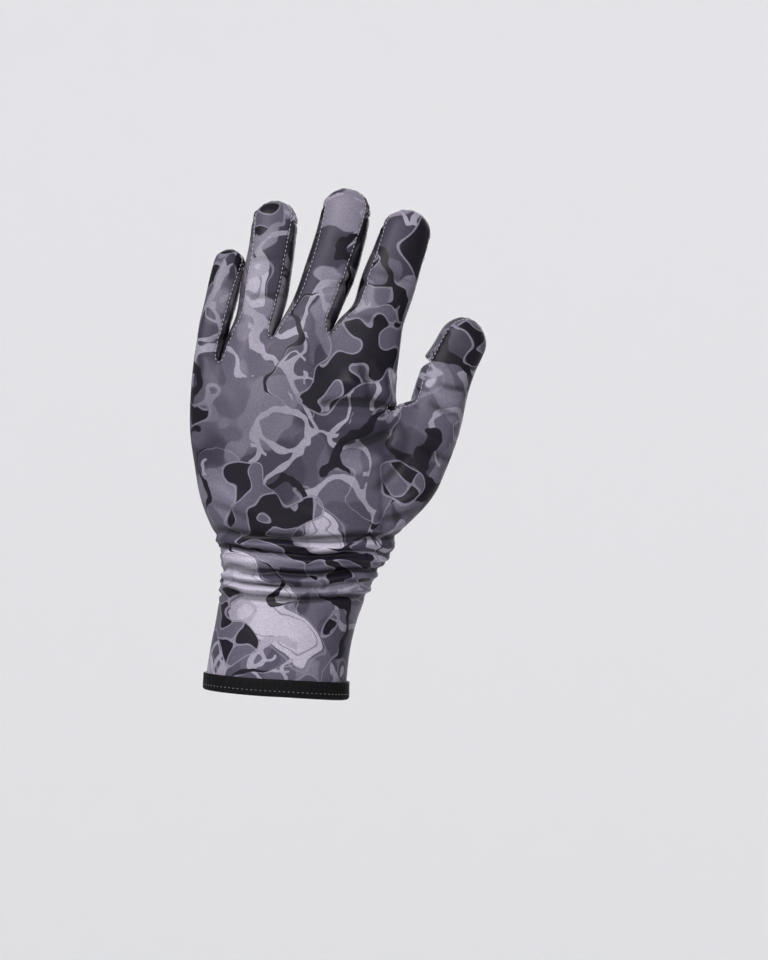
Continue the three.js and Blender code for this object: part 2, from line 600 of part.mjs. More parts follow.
// Geometry to solid and back, for cutting
function solidOf(geometry) {
  const bare = geometry.clone();
  ["normal", "uv"].forEach((name) => bare.deleteAttribute(name));
  const merged = mergeVertices(bare, 1e-4);
  const vertProperties = Float32Array.from(merged.attributes.position.array);
  const triVerts = Uint32Array.from(merged.index.array);
  return new wasm.Manifold(new wasm.Mesh({ numProp: 3, vertProperties, triVerts }));
}

function geometryOf(solid) {
  const mesh = solid.getMesh();
  return new THREE.BufferGeometry()
    .setAttribute("position", new THREE.BufferAttribute(Float32Array.from(mesh.vertProperties), 3))
    .setIndex(Array.from(mesh.triVerts));
}

// Outline of a grip patch: a rounded block that narrows towards its top, turned in the plane of the palm
function patchShape({ width, height, corner, narrow }) {
  const [low, high, half] = [width / 2, (narrow * width) / 2, height / 2];
  const shape = new THREE.Shape();
  shape.moveTo(-low + corner, -half);
  shape.lineTo(low - corner, -half);
  shape.quadraticCurveTo(low, -half, mix(low, high, corner / height), -half + corner);
  shape.lineTo(mix(high, low, corner / height), half - corner);
  shape.quadraticCurveTo(high, half, high - corner, half);
  shape.lineTo(-high + corner, half);
  shape.quadraticCurveTo(-high, half, -mix(high, low, corner / height), half - corner);
  shape.lineTo(-mix(low, high, corner / height), -half + corner);
  shape.quadraticCurveTo(-low, -half, -low + corner, -half);
  return shape;
}

const CURVE_STEPS = 5;
function patchGeometry(patch) {
  const punch = new THREE.ExtrudeGeometry(patchShape(patch), {
    depth: PALM.depth,
    bevelEnabled: false,
    curveSegments: CURVE_STEPS,
  });
  punch.rotateX(Math.PI / 2).translate(0, PALM.depth, 0);
  punch.rotateY(radians(patch.turn)).translate(patch.aside * PALM.width, 0, patch.up * KNUCKLE_RISE);
  const palm = skin.faces.filter(({ panel }) => panel === "palm_panel");
  const layer = solidOf(wallGeometry(palm, SEAM_GAP, SEAM_GAP + PATCH_THICKNESS));
  return geometryOf(layer.intersect(solidOf(punch)));
}

// Binding: a tape folded over the rim. Its section, as distances out of the skin and heights above the rim.
function bindingGeometry() {
  const out = SEAM_GAP + BINDING_THICKNESS;
  const within = -CLOTH - out;
  const section = [
    { off: out, row: 1, drop: 0 },
    { off: out, row: 0, drop: out },
    { off: within, row: 0, drop: out },
    { off: within, row: 1, drop: 0 },
    { off: -CLOTH - SEAM_GAP, row: 1, drop: 0 },
    { off: -CLOTH - SEAM_GAP, row: 0, drop: SEAM_GAP },
    { off: SEAM_GAP, row: 0, drop: SEAM_GAP },
    { off: SEAM_GAP, row: 1, drop: 0 },
  ];
  const positions = [];
  for (let column = 0; column < COLUMNS; column += 1) {
    section.forEach(({ off, row, drop }) => {
      const i = bodyRings[row][column];
      const outwards = normals[i].clone().setZ(0).normalize();
      const point = skin.points[i].clone().addScaledVector(outwards, off);
      positions.push(point.x, point.y, point.z - drop);
    });
  }
  const triangles = [];
  const size = section.length;
  for (let column = 0; column < COLUMNS; column += 1) {
    const next = (column + 1) % COLUMNS;
    for (let k = 0; k < size; k += 1) {
      const [a, b] = [column * size + k, column * size + ((k + 1) % size)];
      const [c, d] = [next * size + ((k + 1) % size), next * size + k];
      triangles.push(a, b, c, a, c, d);
    }
  }
  return new THREE.BufferGeometry()
    .setAttribute("position", new THREE.Float32BufferAttribute(positions, 3))
    .setIndex(triangles);
}

// Materials
const cloth = (color) => new THREE.MeshStandardMaterial({ color, roughness: 0.62, metalness: 0 });
const materials = {
  print: cloth(0x6f6979),
  strip: cloth(0x4b4654),
  grip: new THREE.MeshStandardMaterial({ color: 0x141316, roughness: 0.85, metalness: 0 }),
  binding: new THREE.MeshStandardMaterial({ color: 0x121214, roughness: 0.8, metalness: 0 }),
};

const glove = new THREE.Group();
function addPiece(name, geometry, material) {
  const mesh = new THREE.Mesh(geometry, material);
  mesh.name = name;
  glove.add(mesh);
}

const panelNames = [...new Set(skin.faces.map(({ panel }) => panel))];
panelNames.forEach((name) => {
  const faces = skin.faces.filter(({ panel }) => panel === name);
  const isStrip = name.startsWith("side_strip");
  const drawnIn = isStrip ? STRIP_DRAWN_IN : SEAM_GAP / 2;
  addPiece(name, wallGeometry(faces, -CLOTH, 0, drawnIn), isStrip ? materials.strip : materials.print);
});
PATCHES.forEach((patch) => addPiece(`grip_patch_${patch.name}`, patchGeometry(patch), materials.grip));
addPiece("cuff_binding", bindingGeometry(), materials.binding);

export default glove;
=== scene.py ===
"""Stretch-cloth fishing glove for a left hand: the visual pieces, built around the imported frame.

The glove stands with its fingers up, its back to -Y and its thumb on +X. Lengths in the tables are in
millimetres, as in the part's own source, and each mesh is made in metres.
"""

import functools
import math

import bpy
import numpy as np
from bpy.props import FloatProperty, FloatVectorProperty, IntProperty, PointerProperty
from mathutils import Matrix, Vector
from mathutils.bvhtree import BVHTree
from mathutils.kdtree import KDTree


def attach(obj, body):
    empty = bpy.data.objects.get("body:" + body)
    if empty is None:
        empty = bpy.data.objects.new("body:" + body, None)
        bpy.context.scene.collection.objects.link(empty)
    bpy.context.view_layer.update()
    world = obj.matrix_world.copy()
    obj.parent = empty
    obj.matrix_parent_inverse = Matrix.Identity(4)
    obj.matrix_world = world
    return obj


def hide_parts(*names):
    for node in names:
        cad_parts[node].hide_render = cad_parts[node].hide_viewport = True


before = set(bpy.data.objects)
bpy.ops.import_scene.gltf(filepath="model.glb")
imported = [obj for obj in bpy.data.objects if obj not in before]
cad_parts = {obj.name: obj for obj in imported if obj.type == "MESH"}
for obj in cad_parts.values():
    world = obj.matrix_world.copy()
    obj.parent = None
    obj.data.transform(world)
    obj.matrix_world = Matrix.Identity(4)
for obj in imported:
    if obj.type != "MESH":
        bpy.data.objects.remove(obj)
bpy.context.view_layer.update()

BODY = "root"
MM = 0.001

bl_info = {
    "name": "Fishing glove",
    "version": (1, 0, 0),
    "blender": (4, 5, 0),
    "location": "3D View > Sidebar > Glove",
    "description": "Builds the cloth, seams, grip patches and binding of a stretch fishing glove",
    "category": "Add Mesh",
}

# Picture frame: the object's place in the 768 x 960 picture
PICTURE_WIDTH = 768
PICTURE_HEIGHT = 960
MM_PER_PIXEL = 0.42
ORIGIN_PIXEL = (276, 692)
CAMERA_LENS = 150
SENSOR = 36

# Cloth and seams
SEAM_GAP = 0.32
BINDING_HEIGHT = 6.4
BINDING_THICKNESS = 0.9

# Hand without fingers and thumb
KNUCKLE_RISE = 152
CUFF = {"width": 59, "depth": 43}
PALM = {"width": 87.2, "depth": 34.4}
KNUCKLE_DEPTH = 24.6
CUFF_TILT = 4.4
FOLDS_LOW = 38
FOLDS_HIGH = 67

# Fingers, in the columns of the part's own source
FINGERS = [
    {
        "name": "little", "pitch": 11.8, "width": 13.8, "length": 49, "edge": -1,
        "lean": (7, 16), "fall": (9, 20), "waist": 0.82, "taper": 0.06, "web": -13.5,
    },
    {
        "name": "ring", "pitch": 20.8, "width": 22.8, "length": 65, "edge": 0,
        "lean": (17, 3), "fall": (3, 15), "waist": 0.8, "taper": 0.2, "web": -3.6,
    },
    {
        "name": "middle", "pitch": 23.9, "width": 23.4, "length": 66, "edge": 0,
        "lean": (27, 9), "fall": (3, 14), "waist": 0.83, "taper": 0.15, "web": -1.4,
    },
    {
        "name": "index", "pitch": 31.1, "width": 26.4, "length": 56, "edge": 1,
        "lean": (23, 17), "fall": (4, 14), "waist": 0.9, "taper": 0.26, "web": -2,
    },
]
OUTER_EDGE_WEB = -12
FINGER_DEPTH_SHARE = 0.88
FINGER_CLEARANCE = 3
WAIST_LENGTH = 0.5
CROTCH_DIP = 3.6
PALM_WEB_RISE = 0.5
STRIP_END_SHARE = 0.45
SEAMS = {"back_outer": -52, "back_thumb": 36, "palm_thumb": 112, "palm_outer": 230}
OUTER_SEAMS = {"little": {"back_outer": -60}, "index": {"back_thumb": 60}}

# Thumb
THUMB = {
    "width": 23.2, "depth": 22, "length": 37.5, "edge": 0,
    "lean": (12, 38), "fall": (4, 2), "waist": 1, "taper": 0.16,
}
THUMB_ROOT_HEIGHT = 52
THUMB_RISE = 3
THUMB_REACH = 17.6
THUMB_FORWARD = 6
THUMB_SPREAD = 60
THUMB_CORNERS = (50, 130, 230, 310, 410)
SLIT_OPENING = 8
SLIT_FLARE = 1.4
SLIT_STATION = 1
SLIT_BELOW = 0.65

# Steps of the cage, which the subdivision then makes finer
BACK_STEPS = 4
PALM_STEPS = 4
SIDE_STEPS = 3
FOLD_STEPS = 6
CUFF_STEPS = 3
THUMB_ROWS = 5
KNUCKLE_ROWS = 3
ROOT_STEPS = 4
FINGER_ROOT_STEPS = 2
FINGER_STEPS = 4
THUMB_STEPS = 4
CAP_SHARES = (0.45, 0.78, 0.95)
CORNER_ANGLE = 60
ROOT_PULL = 0.9
ROUNDNESS = 2.35
CAGE_FITS = 2
CAGE_FIT_SHARE = 0.8

STRIPS = [f"side_strip_{a['name']}_{b['name']}" for a, b in zip(FINGERS, FINGERS[1:])]
PANELS = ("back_panel", "palm_panel", *STRIPS, "thumb_front", "thumb_tip_cap")
SEAM_PAIRS = (
    *(("back_panel", strip) for strip in STRIPS),
    *(("palm_panel", strip) for strip in STRIPS),
    ("back_panel", "palm_panel"),
    ("back_panel", "thumb_front"),
    ("back_panel", "thumb_tip_cap"),
    ("palm_panel", "thumb_front"),
)

KNUCKLES = {"width": sum(finger["pitch"] for finger in FINGERS), "depth": KNUCKLE_DEPTH}

# Outline of the hand: up is a share of the knuckles' height, the rest are shares of a named width or depth
OUTLINE_COLUMNS = ("up", "of", "width", "aside", "back", "palm")
OUTLINE_ROWS = (
    (0, CUFF, 1, 0, 0.5, 0.5),
    (0.059, CUFF, 0.997, 0.008, 0.495, 0.495),
    (0.132, CUFF, 1.003, 0.037, 0.488, 0.488),
    (0.197, CUFF, 1.003, 0.073, 0.479, 0.484),
    (0.257, CUFF, 1.034, 0.115, 0.465, 0.484),
    (0.329, CUFF, 1.108, 0.166, 0.451, 0.488),
    (0.395, PALM, 0.83, 0.147, 0.549, 0.616),
    (0.447, PALM, 0.894, 0.144, 0.541, 0.616),
    (0.526, PALM, 0.94, 0.112, 0.523, 0.61),
    (0.625, PALM, 0.975, 0.094, 0.5, 0.576),
    (0.737, PALM, 1, 0.085, 0.471, 0.529),
    (0.822, PALM, 0.993, 0.083, 0.448, 0.488),
    (0.882, PALM, 0.986, 0.087, 0.424, 0.442),
    (0.941, PALM, 0.995, 0.103, 0.39, 0.395),
    (1, KNUCKLES, 1, 0.119, 0.496, 0.504),
    (1.059, KNUCKLES, 1, 0.119, 0.48, 0.48),
)

# Folds round the wrist: up is a share of the gathered stretch, high and wide are shares of the fold pitch,
# and each runs from one angle to another, where 0 is the middle of the back and 90 the thumb side
FOLD_PITCH = (FOLDS_HIGH - FOLDS_LOW) / 5.6
FOLD_LIFT = 1.6
FOLD_DRIFT = ((1.3, 1.4, 0.5), (0.8, 3.2, 2), (0.3, 7.3, 0))
GATHER_PITCH = 3.5
GATHER_HIGH = 1.3
GATHER_DRIFT = ((1.9, 1, 0.6), (1.0, 2.3, 1.1), (0.5, 5.1, 0.4))
CLOTH_GATHERED = 1.1
FOLD_COLUMNS = ("up", "high", "wide", "from", "to", "slope")
FOLDS = (
    (0.95, -0.2, 0.42, -120, 120, 0.0),
    (0.85, 0.26, 0.3, -125, 100, 0.0),
    (0.74, -0.18, 0.22, -125, 40, -0.03),
    (0.63, 0.2, 0.42, -115, 125, 0.0),
    (0.46, -0.24, 0.28, -125, 125, 0.04),
    (0.37, 0.22, 0.25, -100, 130, 0.06),
    (0.28, -0.14, 0.2, -100, 130, 0.05),
    (0.2, 0.2, 0.25, -110, 125, 0.03),
    (0.1, -0.2, 0.25, -110, 120, 0.0),
    (0.7, 0.24, 0.5, 115, 260, 0.25),
    (0.35, 0.22, 0.5, 110, 250, 0.25),
)

# Grip patches on the palm: aside and up are shares of the palm's width and the knuckles' height
PATCH_COLUMNS = ("name", "aside", "up", "width", "height", "turn", "corner", "narrow")
PATCHES = (
    ("fingers", 0.1, 0.868, 66, 18, 11, 8, 0.95),
    ("thumb", 0.34, 0.632, 29, 42, -20, 8.5, 0.62),
    ("heel", -0.17, 0.605, 26, 42, 8, 10, 0.85),
)


def linear(code):
    """Linear colour of a six-digit sRGB code."""
    shares = [int(code[i : i + 2], 16) / 255 for i in (0, 2, 4)]
    return tuple(s / 12.92 if s <= 0.04045 else ((s + 0.055) / 1.055) ** 2.4 for s in shares)


def length(name, description, millimetres):
    return FloatProperty(
        name=name, description=description, default=millimetres * MM, min=0, unit="LENGTH", precision=5
    )


def colour(name, description, code):
    return FloatVectorProperty(
        name=name, description=description, default=linear(code), min=0, max=1, size=3, subtype="COLOR"
    )


class GloveSizes(bpy.types.PropertyGroup):
    """Sizes that a user would change."""

    cloth: length("Cloth", "Thickness of the stretch cloth", 1.05)
    groove: length("Seam groove", "How deep the cloth sinks at a seam", 0.42)
    groove_width: length("Groove width", "Half of the width of the groove at a seam", 0.9)
    stitch: length("Stitch", "Length of one stitch of a seam", 1.25)
    stitch_pitch: length("Stitch pitch", "From one stitch of a seam to the next", 1.95)
    thread: length("Thread", "Thickness of the sewing thread", 0.3)
    overlock_pitch: length("Overlock pitch", "From one stitch of the slit's edge to the next", 0.85)
    dot_pitch: length("Dot pitch", "From one silicone dot to the next", 4.5)
    dot: length("Dot", "Width of one silicone dot", 2.3)
    dot_height: length("Dot height", "How far a silicone dot stands off its cloth", 0.55)
    detail: IntProperty(
        name="Detail", description="How often the cage is subdivided", default=3, min=1, max=4
    )


class GloveColours(bpy.types.PropertyGroup):
    """Colours that a user would change."""

    ink: colour("Ink", "Darkest tone of the print", "0a0710")
    slate: colour("Slate", "Dark tone of the print", "26232d")
    stone: colour("Stone", "Middle tone of the print", "3a3742")
    ash: colour("Ash", "Light tone of the print", "54505b")
    mist: colour("Mist", "Lightest tone of the print", "706c76")
    inside: colour("Inside", "Unprinted inside of the cloth", "56515d")
    grip: colour("Grip cloth", "Cloth of the grip patches", "0c0b0e")
    dot: colour("Dots", "Silicone dots of the grip patches", "55545b")
    tape: colour("Tape", "Tape of the binding", "040405")
    thread: colour("Thread", "Light sewing thread", "7c7783")
    dark_thread: colour("Dark thread", "Dark sewing thread", "100f13")
    tape_thread: colour("Tape thread", "Sewing thread of the binding", "39373e")
    floor: colour("Floor", "Floor and backdrop", "f2f2f4")


def named_rows(columns, table):
    return [dict(zip(columns, row)) for row in table]


def mix(start, end, share):
    return start + (end - start) * share


def smoothstep(value, low, high):
    share = np.clip((value - low) / (high - low), 0, 1)
    return share * share * (3 - 2 * share)


def evenly(start, end, steps):
    return [mix(start, end, (i + 1) / steps) for i in range(steps)]


def hermite(start, end, start_slope, end_slope, t):
    from_start = start * (2 * t**3 - 3 * t**2 + 1) + start_slope * (t**3 - 2 * t**2 + t)
    return from_start + end * (3 * t**2 - 2 * t**3) + end_slope * (t**3 - t**2)


def outline_table():
    rows = named_rows(OUTLINE_COLUMNS, OUTLINE_ROWS)
    for row in rows:
        row["z"] = row["up"] * KNUCKLE_RISE
        for column in ("width", "aside"):
            row[column] *= row["of"]["width"]
        for column in ("back", "palm"):
            row[column] *= row["of"]["depth"]
    return rows


OUTLINE = outline_table()
KNUCKLE_LINE = OUTLINE[-2]


def outline_at(column, z):
    """Value of one column of the outline at a height, on a smooth curve through its rows."""
    last = len(OUTLINE) - 1

    def slope(i):
        low, high = OUTLINE[max(0, i - 1)], OUTLINE[min(last, i + 1)]
        return (high[column] - low[column]) / (high["z"] - low["z"])

    i = 0
    while i < last - 1 and z > OUTLINE[i + 1]["z"]:
        i += 1
    step = OUTLINE[i + 1]["z"] - OUTLINE[i]["z"]
    share = min(1, max(0, (z - OUTLINE[i]["z"]) / step))
    return hermite(OUTLINE[i][column], OUTLINE[i + 1][column], slope(i) * step, slope(i + 1) * step, share)


def outline_values(column, heights):
    """Values of one column of the outline at many heights."""
    samples = np.linspace(OUTLINE[0]["z"], OUTLINE[-1]["z"], 200)
    return np.interp(heights, samples, [outline_at(column, z) for z in samples])


def ring_point(angle):
    """Unit ring of the glove's roundness: first to the thumb side, then to the palm side."""
    power = 2 / ROUNDNESS
    across, ahead = math.sin(angle), math.cos(angle)
    return math.copysign(abs(across) ** power, across), -math.copysign(abs(ahead) ** power, ahead)


def body_point(angle, z):
    across, ahead = ring_point(angle)
    depth = outline_at("back" if ahead < 0 else "palm", z)
    tilt = (1 - smoothstep(z, 0, FOLDS_LOW)) * CUFF_TILT * math.sin(angle) / 2
    return np.array([outline_at("aside", z) + outline_at("width", z) / 2 * across, depth * ahead, z - tilt])


# Columns of the hand's rings, counted from the little finger's side over the back and the thumb side
BACK_COLUMNS = BACK_STEPS * len(FINGERS)
PALM_COLUMNS = PALM_STEPS * len(FINGERS)
THUMB_SIDE = BACK_COLUMNS
PALM_START = THUMB_SIDE + SIDE_STEPS
OUTER_SIDE = PALM_START + PALM_COLUMNS
COLUMNS = OUTER_SIDE + SIDE_STEPS
OUTER_INSET = 0.1
THUMB_ROOT_TOP = FOLDS_HIGH + THUMB_ROOT_HEIGHT


def knuckle_edges():
    edges = [0]
    for finger in FINGERS:
        edges.append(edges[-1] + finger["pitch"])
    return edges


def knuckle_angles():
    shares = [2 * edge / KNUCKLES["width"] - 1 for edge in knuckle_edges()]
    shares[0] += OUTER_INSET * 2 * FINGERS[0]["pitch"] / KNUCKLES["width"]
    shares[-1] -= OUTER_INSET * 2 * FINGERS[-1]["pitch"] / KNUCKLES["width"]
    return [math.copysign(math.asin(abs(share) ** (ROUNDNESS / 2)), share) for share in shares]


KNUCKLE_ANGLES = knuckle_angles()
WEB_HEIGHTS = [KNUCKLE_RISE + web for web in (OUTER_EDGE_WEB, *(finger["web"] for finger in FINGERS))]


def along_knuckles(values, step, steps):
    finger = min(len(FINGERS) - 1, int(step // steps))
    return mix(values[finger], values[finger + 1], step / steps - finger)


def column_angle(column, knuckle_share):
    """Angle of a column: even round the wrist, and in line with the fingers at the knuckles."""
    corner = math.radians(CORNER_ANGLE)

    def back(step):
        at_knuckles = along_knuckles(KNUCKLE_ANGLES, step, BACK_STEPS)
        return mix(mix(-corner, corner, step / BACK_COLUMNS), at_knuckles, knuckle_share)

    def palm(step):
        at_knuckles = along_knuckles(KNUCKLE_ANGLES, PALM_COLUMNS - step, PALM_STEPS)
        return math.pi - mix(mix(corner, -corner, step / PALM_COLUMNS), at_knuckles, knuckle_share)

    if column <= THUMB_SIDE:
        return back(column)
    if column < PALM_START:
        return mix(back(BACK_COLUMNS), palm(0), (column - THUMB_SIDE) / SIDE_STEPS)
    if column <= OUTER_SIDE:
        return palm(column - PALM_START)
    return mix(palm(PALM_COLUMNS), back(0) + 2 * math.pi, (column - OUTER_SIDE) / SIDE_STEPS)


def knuckle_height(column):
    def back(step):
        return along_knuckles(WEB_HEIGHTS, step, BACK_STEPS)

    def palm(step):
        return along_knuckles(WEB_HEIGHTS, PALM_COLUMNS - step, PALM_STEPS) + PALM_WEB_RISE

    if column <= THUMB_SIDE:
        return back(column)
    if column < PALM_START:
        return mix(back(BACK_COLUMNS), palm(0), (column - THUMB_SIDE) / SIDE_STEPS)
    if column <= OUTER_SIDE:
        return palm(column - PALM_START)
    return mix(palm(PALM_COLUMNS), back(0), (column - OUTER_SIDE) / SIDE_STEPS)


def crotch_share(column):
    """1 over a crotch and 0 over the middle of a finger."""
    on_back = 0 < column < THUMB_SIDE
    on_palm = PALM_START < column < OUTER_SIDE
    if not (on_back or on_palm):
        return 0
    step = column / BACK_STEPS if on_back else (column - PALM_START) / PALM_STEPS
    near_outer_edge = step < 0.5 or step > len(FINGERS) - 0.5
    return 0 if near_outer_edge else math.cos(math.pi * step) ** 2


class Cage:
    """Coarse skin of the glove: points in millimetres, and faces in the names of their panels."""

    def __init__(self):
        self.points = []
        self.faces = []
        self.panels = []

    def point(self, place):
        self.points.append(np.array(place, float))
        return len(self.points) - 1

    def face(self, panel, *corners):
        self.faces.append(corners)
        self.panels.append(panel)

    def join(self, low, high, panel_of):
        for i, corner in enumerate(low):
            after = (i + 1) % len(low)
            self.face(panel_of(i), corner, low[after], high[after], high[i])

    def close(self, ring, tip, panel_of):
        for i, corner in enumerate(ring):
            self.face(panel_of(i), corner, ring[(i + 1) % len(ring)], tip)


def direction_at(limb, share):
    lean = math.radians(mix(*limb["lean"], share))
    fall = math.radians(mix(*limb["fall"], share))
    return np.array([math.sin(lean) * math.cos(fall), math.sin(fall), math.cos(lean) * math.cos(fall)])


def limb_frame(limb, root, distance):
    """Centre, direction, thumb side and palm side of a limb's ring at a distance from its root."""
    steps = 24
    part = distance / steps
    centre = np.array(root, float)
    for step in range(steps):
        centre = centre + direction_at(limb, (step + 0.5) * part / limb["length"]) * part
    direction = direction_at(limb, distance / limb["length"])
    lean = math.radians(mix(*limb["lean"], distance / limb["length"]))
    side = np.array([math.cos(lean), 0, -math.sin(lean)])
    return centre, direction, side, np.cross(direction, side)


def cap_length(limb):
    return 0.5 * limb["width"] * (1 - limb["taper"])


def waist_share(limb, distance):
    return mix(limb["waist"], 1, smoothstep(distance, 0, WAIST_LENGTH * limb["length"]))


def limb_share(limb, distance):
    """Share of its full width that a limb has at a distance from its root, with the rounded end."""
    cap = cap_length(limb)
    into_cap = max(0, distance - (limb["length"] - cap)) / cap
    taper = 1 - limb["taper"] * distance / limb["length"]
    return taper * waist_share(limb, distance) * math.sqrt(1 - min(1, into_cap) ** 2)


def limb_point(limb, root, distance, angle, depth):
    centre, _, side, palm = limb_frame(limb, root, distance)
    share = limb_share(limb, distance)
    across, ahead = ring_point(angle)
    straight_edge = limb["edge"] * (1 - waist_share(limb, distance))
    sideways = side * 0.5 * limb["width"] * (share * across + straight_edge)
    return centre + sideways + palm * 0.5 * depth * share * ahead


def limb_stations(limb, first, steps):
    straight = limb["length"] - cap_length(limb)
    caps = [straight + share * cap_length(limb) for share in CAP_SHARES]
    return [first, *evenly(first, straight, steps), *caps]


def root_rings(cage, loop, first_ring, from_direction, to_direction, steps):
    """Rings on smooth curves from a loop on the hand to a limb's first full ring."""
    rings = []
    for t in evenly(0, 1, steps):
        ring = []
        for corner, end in zip(loop, first_ring):
            start = cage.points[corner]
            pull = ROOT_PULL * np.linalg.norm(end - start)
            ring.append(hermite(start, end, from_direction * pull, to_direction * pull, t))
        rings.append(ring)
    return rings


def finger_angles(finger, share):
    """Angles of a finger's ring: its back, its thumb side, its palm side and its outer side."""
    seams = {**SEAMS, **OUTER_SEAMS.get(finger["name"], {})}
    narrowing = mix(1, STRIP_END_SHARE, smoothstep(share, 0.5, 1))

    def narrowed(start, end):
        middle = (start + end) / 2
        return mix(middle, start, narrowing), mix(middle, end, narrowing)

    back_thumb, palm_thumb = narrowed(seams["back_thumb"], seams["palm_thumb"])
    palm_outer, back_outer = narrowed(seams["palm_outer"], seams["back_outer"] + 360)
    stretches = (
        (back_outer - 360, back_thumb, BACK_STEPS),
        (back_thumb, palm_thumb, SIDE_STEPS),
        (palm_thumb, palm_outer, PALM_STEPS),
        (palm_outer, back_outer, SIDE_STEPS),
    )
    angles = [mix(start, end, i / steps) for start, end, steps in stretches for i in range(steps)]
    return [math.radians(angle) for angle in angles]


def add_body(cage):
    """Adds the hand up to the knuckle line, with a hole for the thumb's root, and returns its rings."""
    heights = [0, BINDING_HEIGHT, *evenly(BINDING_HEIGHT, FOLDS_LOW, CUFF_STEPS)]
    heights += evenly(FOLDS_LOW, FOLDS_HIGH, FOLD_STEPS) + evenly(FOLDS_HIGH, THUMB_ROOT_TOP, THUMB_ROWS)
    rows = [(z, 0) for z in heights] + [(THUMB_ROOT_TOP, share) for share in evenly(0, 1, KNUCKLE_ROWS)]
    rings = []
    for z, to_knuckles in rows:
        knuckle_share = smoothstep(mix(z, KNUCKLE_LINE["z"], to_knuckles), FOLDS_HIGH, KNUCKLE_LINE["z"])
        ring = []
        for column in range(COLUMNS):
            angle = column_angle(column, knuckle_share)
            place = body_point(angle, mix(z, knuckle_height(column), to_knuckles))
            place[1] -= np.sign(place[1]) * CROTCH_DIP * crotch_share(column) * to_knuckles**2
            ring.append(cage.point(place))
        rings.append(ring)
    root_end = len(heights) - 1
    root_start = root_end - THUMB_ROWS
    for row in range(len(rings) - 1):
        for column in range(COLUMNS):
            if THUMB_SIDE <= column < PALM_START and root_start <= row < root_end:
                continue
            after = (column + 1) % COLUMNS
            panel = "palm_panel" if PALM_START <= column < OUTER_SIDE else "back_panel"
            low, high = rings[row], rings[row + 1]
            cage.face(panel, low[column], low[after], high[after], high[column])
    return rings, root_start, root_end


def add_webs(cage, knuckle_ring):
    """Adds the points over each web, between the back and the palm side of a crotch."""
    webs = []
    for finger in range(len(FINGERS) - 1):
        back = knuckle_ring[(finger + 1) * BACK_STEPS]
        palm = knuckle_ring[OUTER_SIDE - (finger + 1) * PALM_STEPS]
        start, end = cage.points[back], cage.points[palm]
        between = [cage.point(mix(start, end, share)) for share in evenly(0, 1, SIDE_STEPS)[:-1]]
        webs.append([back, *between, palm])
    return webs


def finger_base(f, knuckle_ring, webs):
    """Loop on the hand from which a finger rises."""
    ring = [knuckle_ring[i % COLUMNS] for i in range(COLUMNS + 1)]
    palm_from = OUTER_SIDE - (f + 1) * PALM_STEPS
    is_last = f == len(FINGERS) - 1
    thumbwards = ring[THUMB_SIDE:PALM_START] if is_last else webs[f][:-1]
    outwards = ring[OUTER_SIDE:COLUMNS] if f == 0 else webs[f - 1][:0:-1]
    back = ring[f * BACK_STEPS : (f + 1) * BACK_STEPS]
    return [*back, *thumbwards, *ring[palm_from : palm_from + PALM_STEPS], *outwards]


def add_finger(cage, f, knuckle_ring, webs):
    finger = FINGERS[f]
    base = finger_base(f, knuckle_ring, webs)
    palm_start = BACK_STEPS + SIDE_STEPS
    outer_start = palm_start + PALM_STEPS

    def panel_of(i):
        if i < BACK_STEPS:
            return "back_panel"
        if i < palm_start:
            return "back_panel" if f == len(FINGERS) - 1 else STRIPS[f]
        if i < outer_start:
            return "palm_panel"
        return "back_panel" if f == 0 else STRIPS[f - 1]

    def tip_panel_of(i):
        on_outer_side = f == 0 and i >= outer_start or f == len(FINGERS) - 1 and i < palm_start
        return "back_panel" if i < BACK_STEPS or on_outer_side else "palm_panel"

    edges = knuckle_edges()
    middle = (edges[f] + edges[f + 1] - KNUCKLES["width"]) / 2 + KNUCKLE_LINE["aside"]
    height = (WEB_HEIGHTS[f] + WEB_HEIGHTS[f + 1] + PALM_WEB_RISE) / 2
    root = np.array([middle, 0, height])
    lean = math.radians(finger["lean"][0])
    clear_height = WEB_HEIGHTS[f + 1] + PALM_WEB_RISE + FINGER_CLEARANCE
    clearance = (clear_height - height + 0.5 * finger["width"] * math.sin(lean)) / math.cos(lean)

    def ring_at(distance):
        depth = FINGER_DEPTH_SHARE * finger["width"]
        angles = finger_angles(finger, distance / finger["length"])
        return [limb_point(finger, root, distance, angle, depth) for angle in angles]

    _, full_direction, _, _ = limb_frame(finger, root, clearance)
    up = np.array([0, 0, 1])
    rings = root_rings(cage, base, ring_at(clearance), up, full_direction, FINGER_ROOT_STEPS)
    rings += [ring_at(distance) for distance in limb_stations(finger, clearance, FINGER_STEPS)[1:]]
    strip_rings = len(rings) - 2
    low = base
    for i, ring in enumerate(rings, 1):
        high = [cage.point(place) for place in ring]
        cage.join(low, high, panel_of if i < strip_rings else tip_panel_of)
        low = high
    tip = cage.point(limb_point(finger, root, finger["length"], 0, 0))
    cage.close(low, tip, tip_panel_of)


THUMB_FRONT_START = SIDE_STEPS
THUMB_FRONT_END = THUMB_FRONT_START + THUMB_ROWS + SIDE_STEPS


def thumb_root():
    edge = outline_at("aside", THUMB_ROOT_TOP) + outline_at("width", THUMB_ROOT_TOP) / 2
    return np.array([edge + THUMB_REACH, THUMB_FORWARD, THUMB_ROOT_TOP + THUMB_RISE])


def thumb_ring(distance):
    sides = (SIDE_STEPS, THUMB_ROWS, SIDE_STEPS, THUMB_ROWS)
    angles = [
        math.radians(mix(THUMB_CORNERS[k], THUMB_CORNERS[k + 1], i / steps))
        for k, steps in enumerate(sides)
        for i in range(steps)
    ]
    return [limb_point(THUMB, thumb_root(), distance, angle, THUMB["depth"]) for angle in angles]


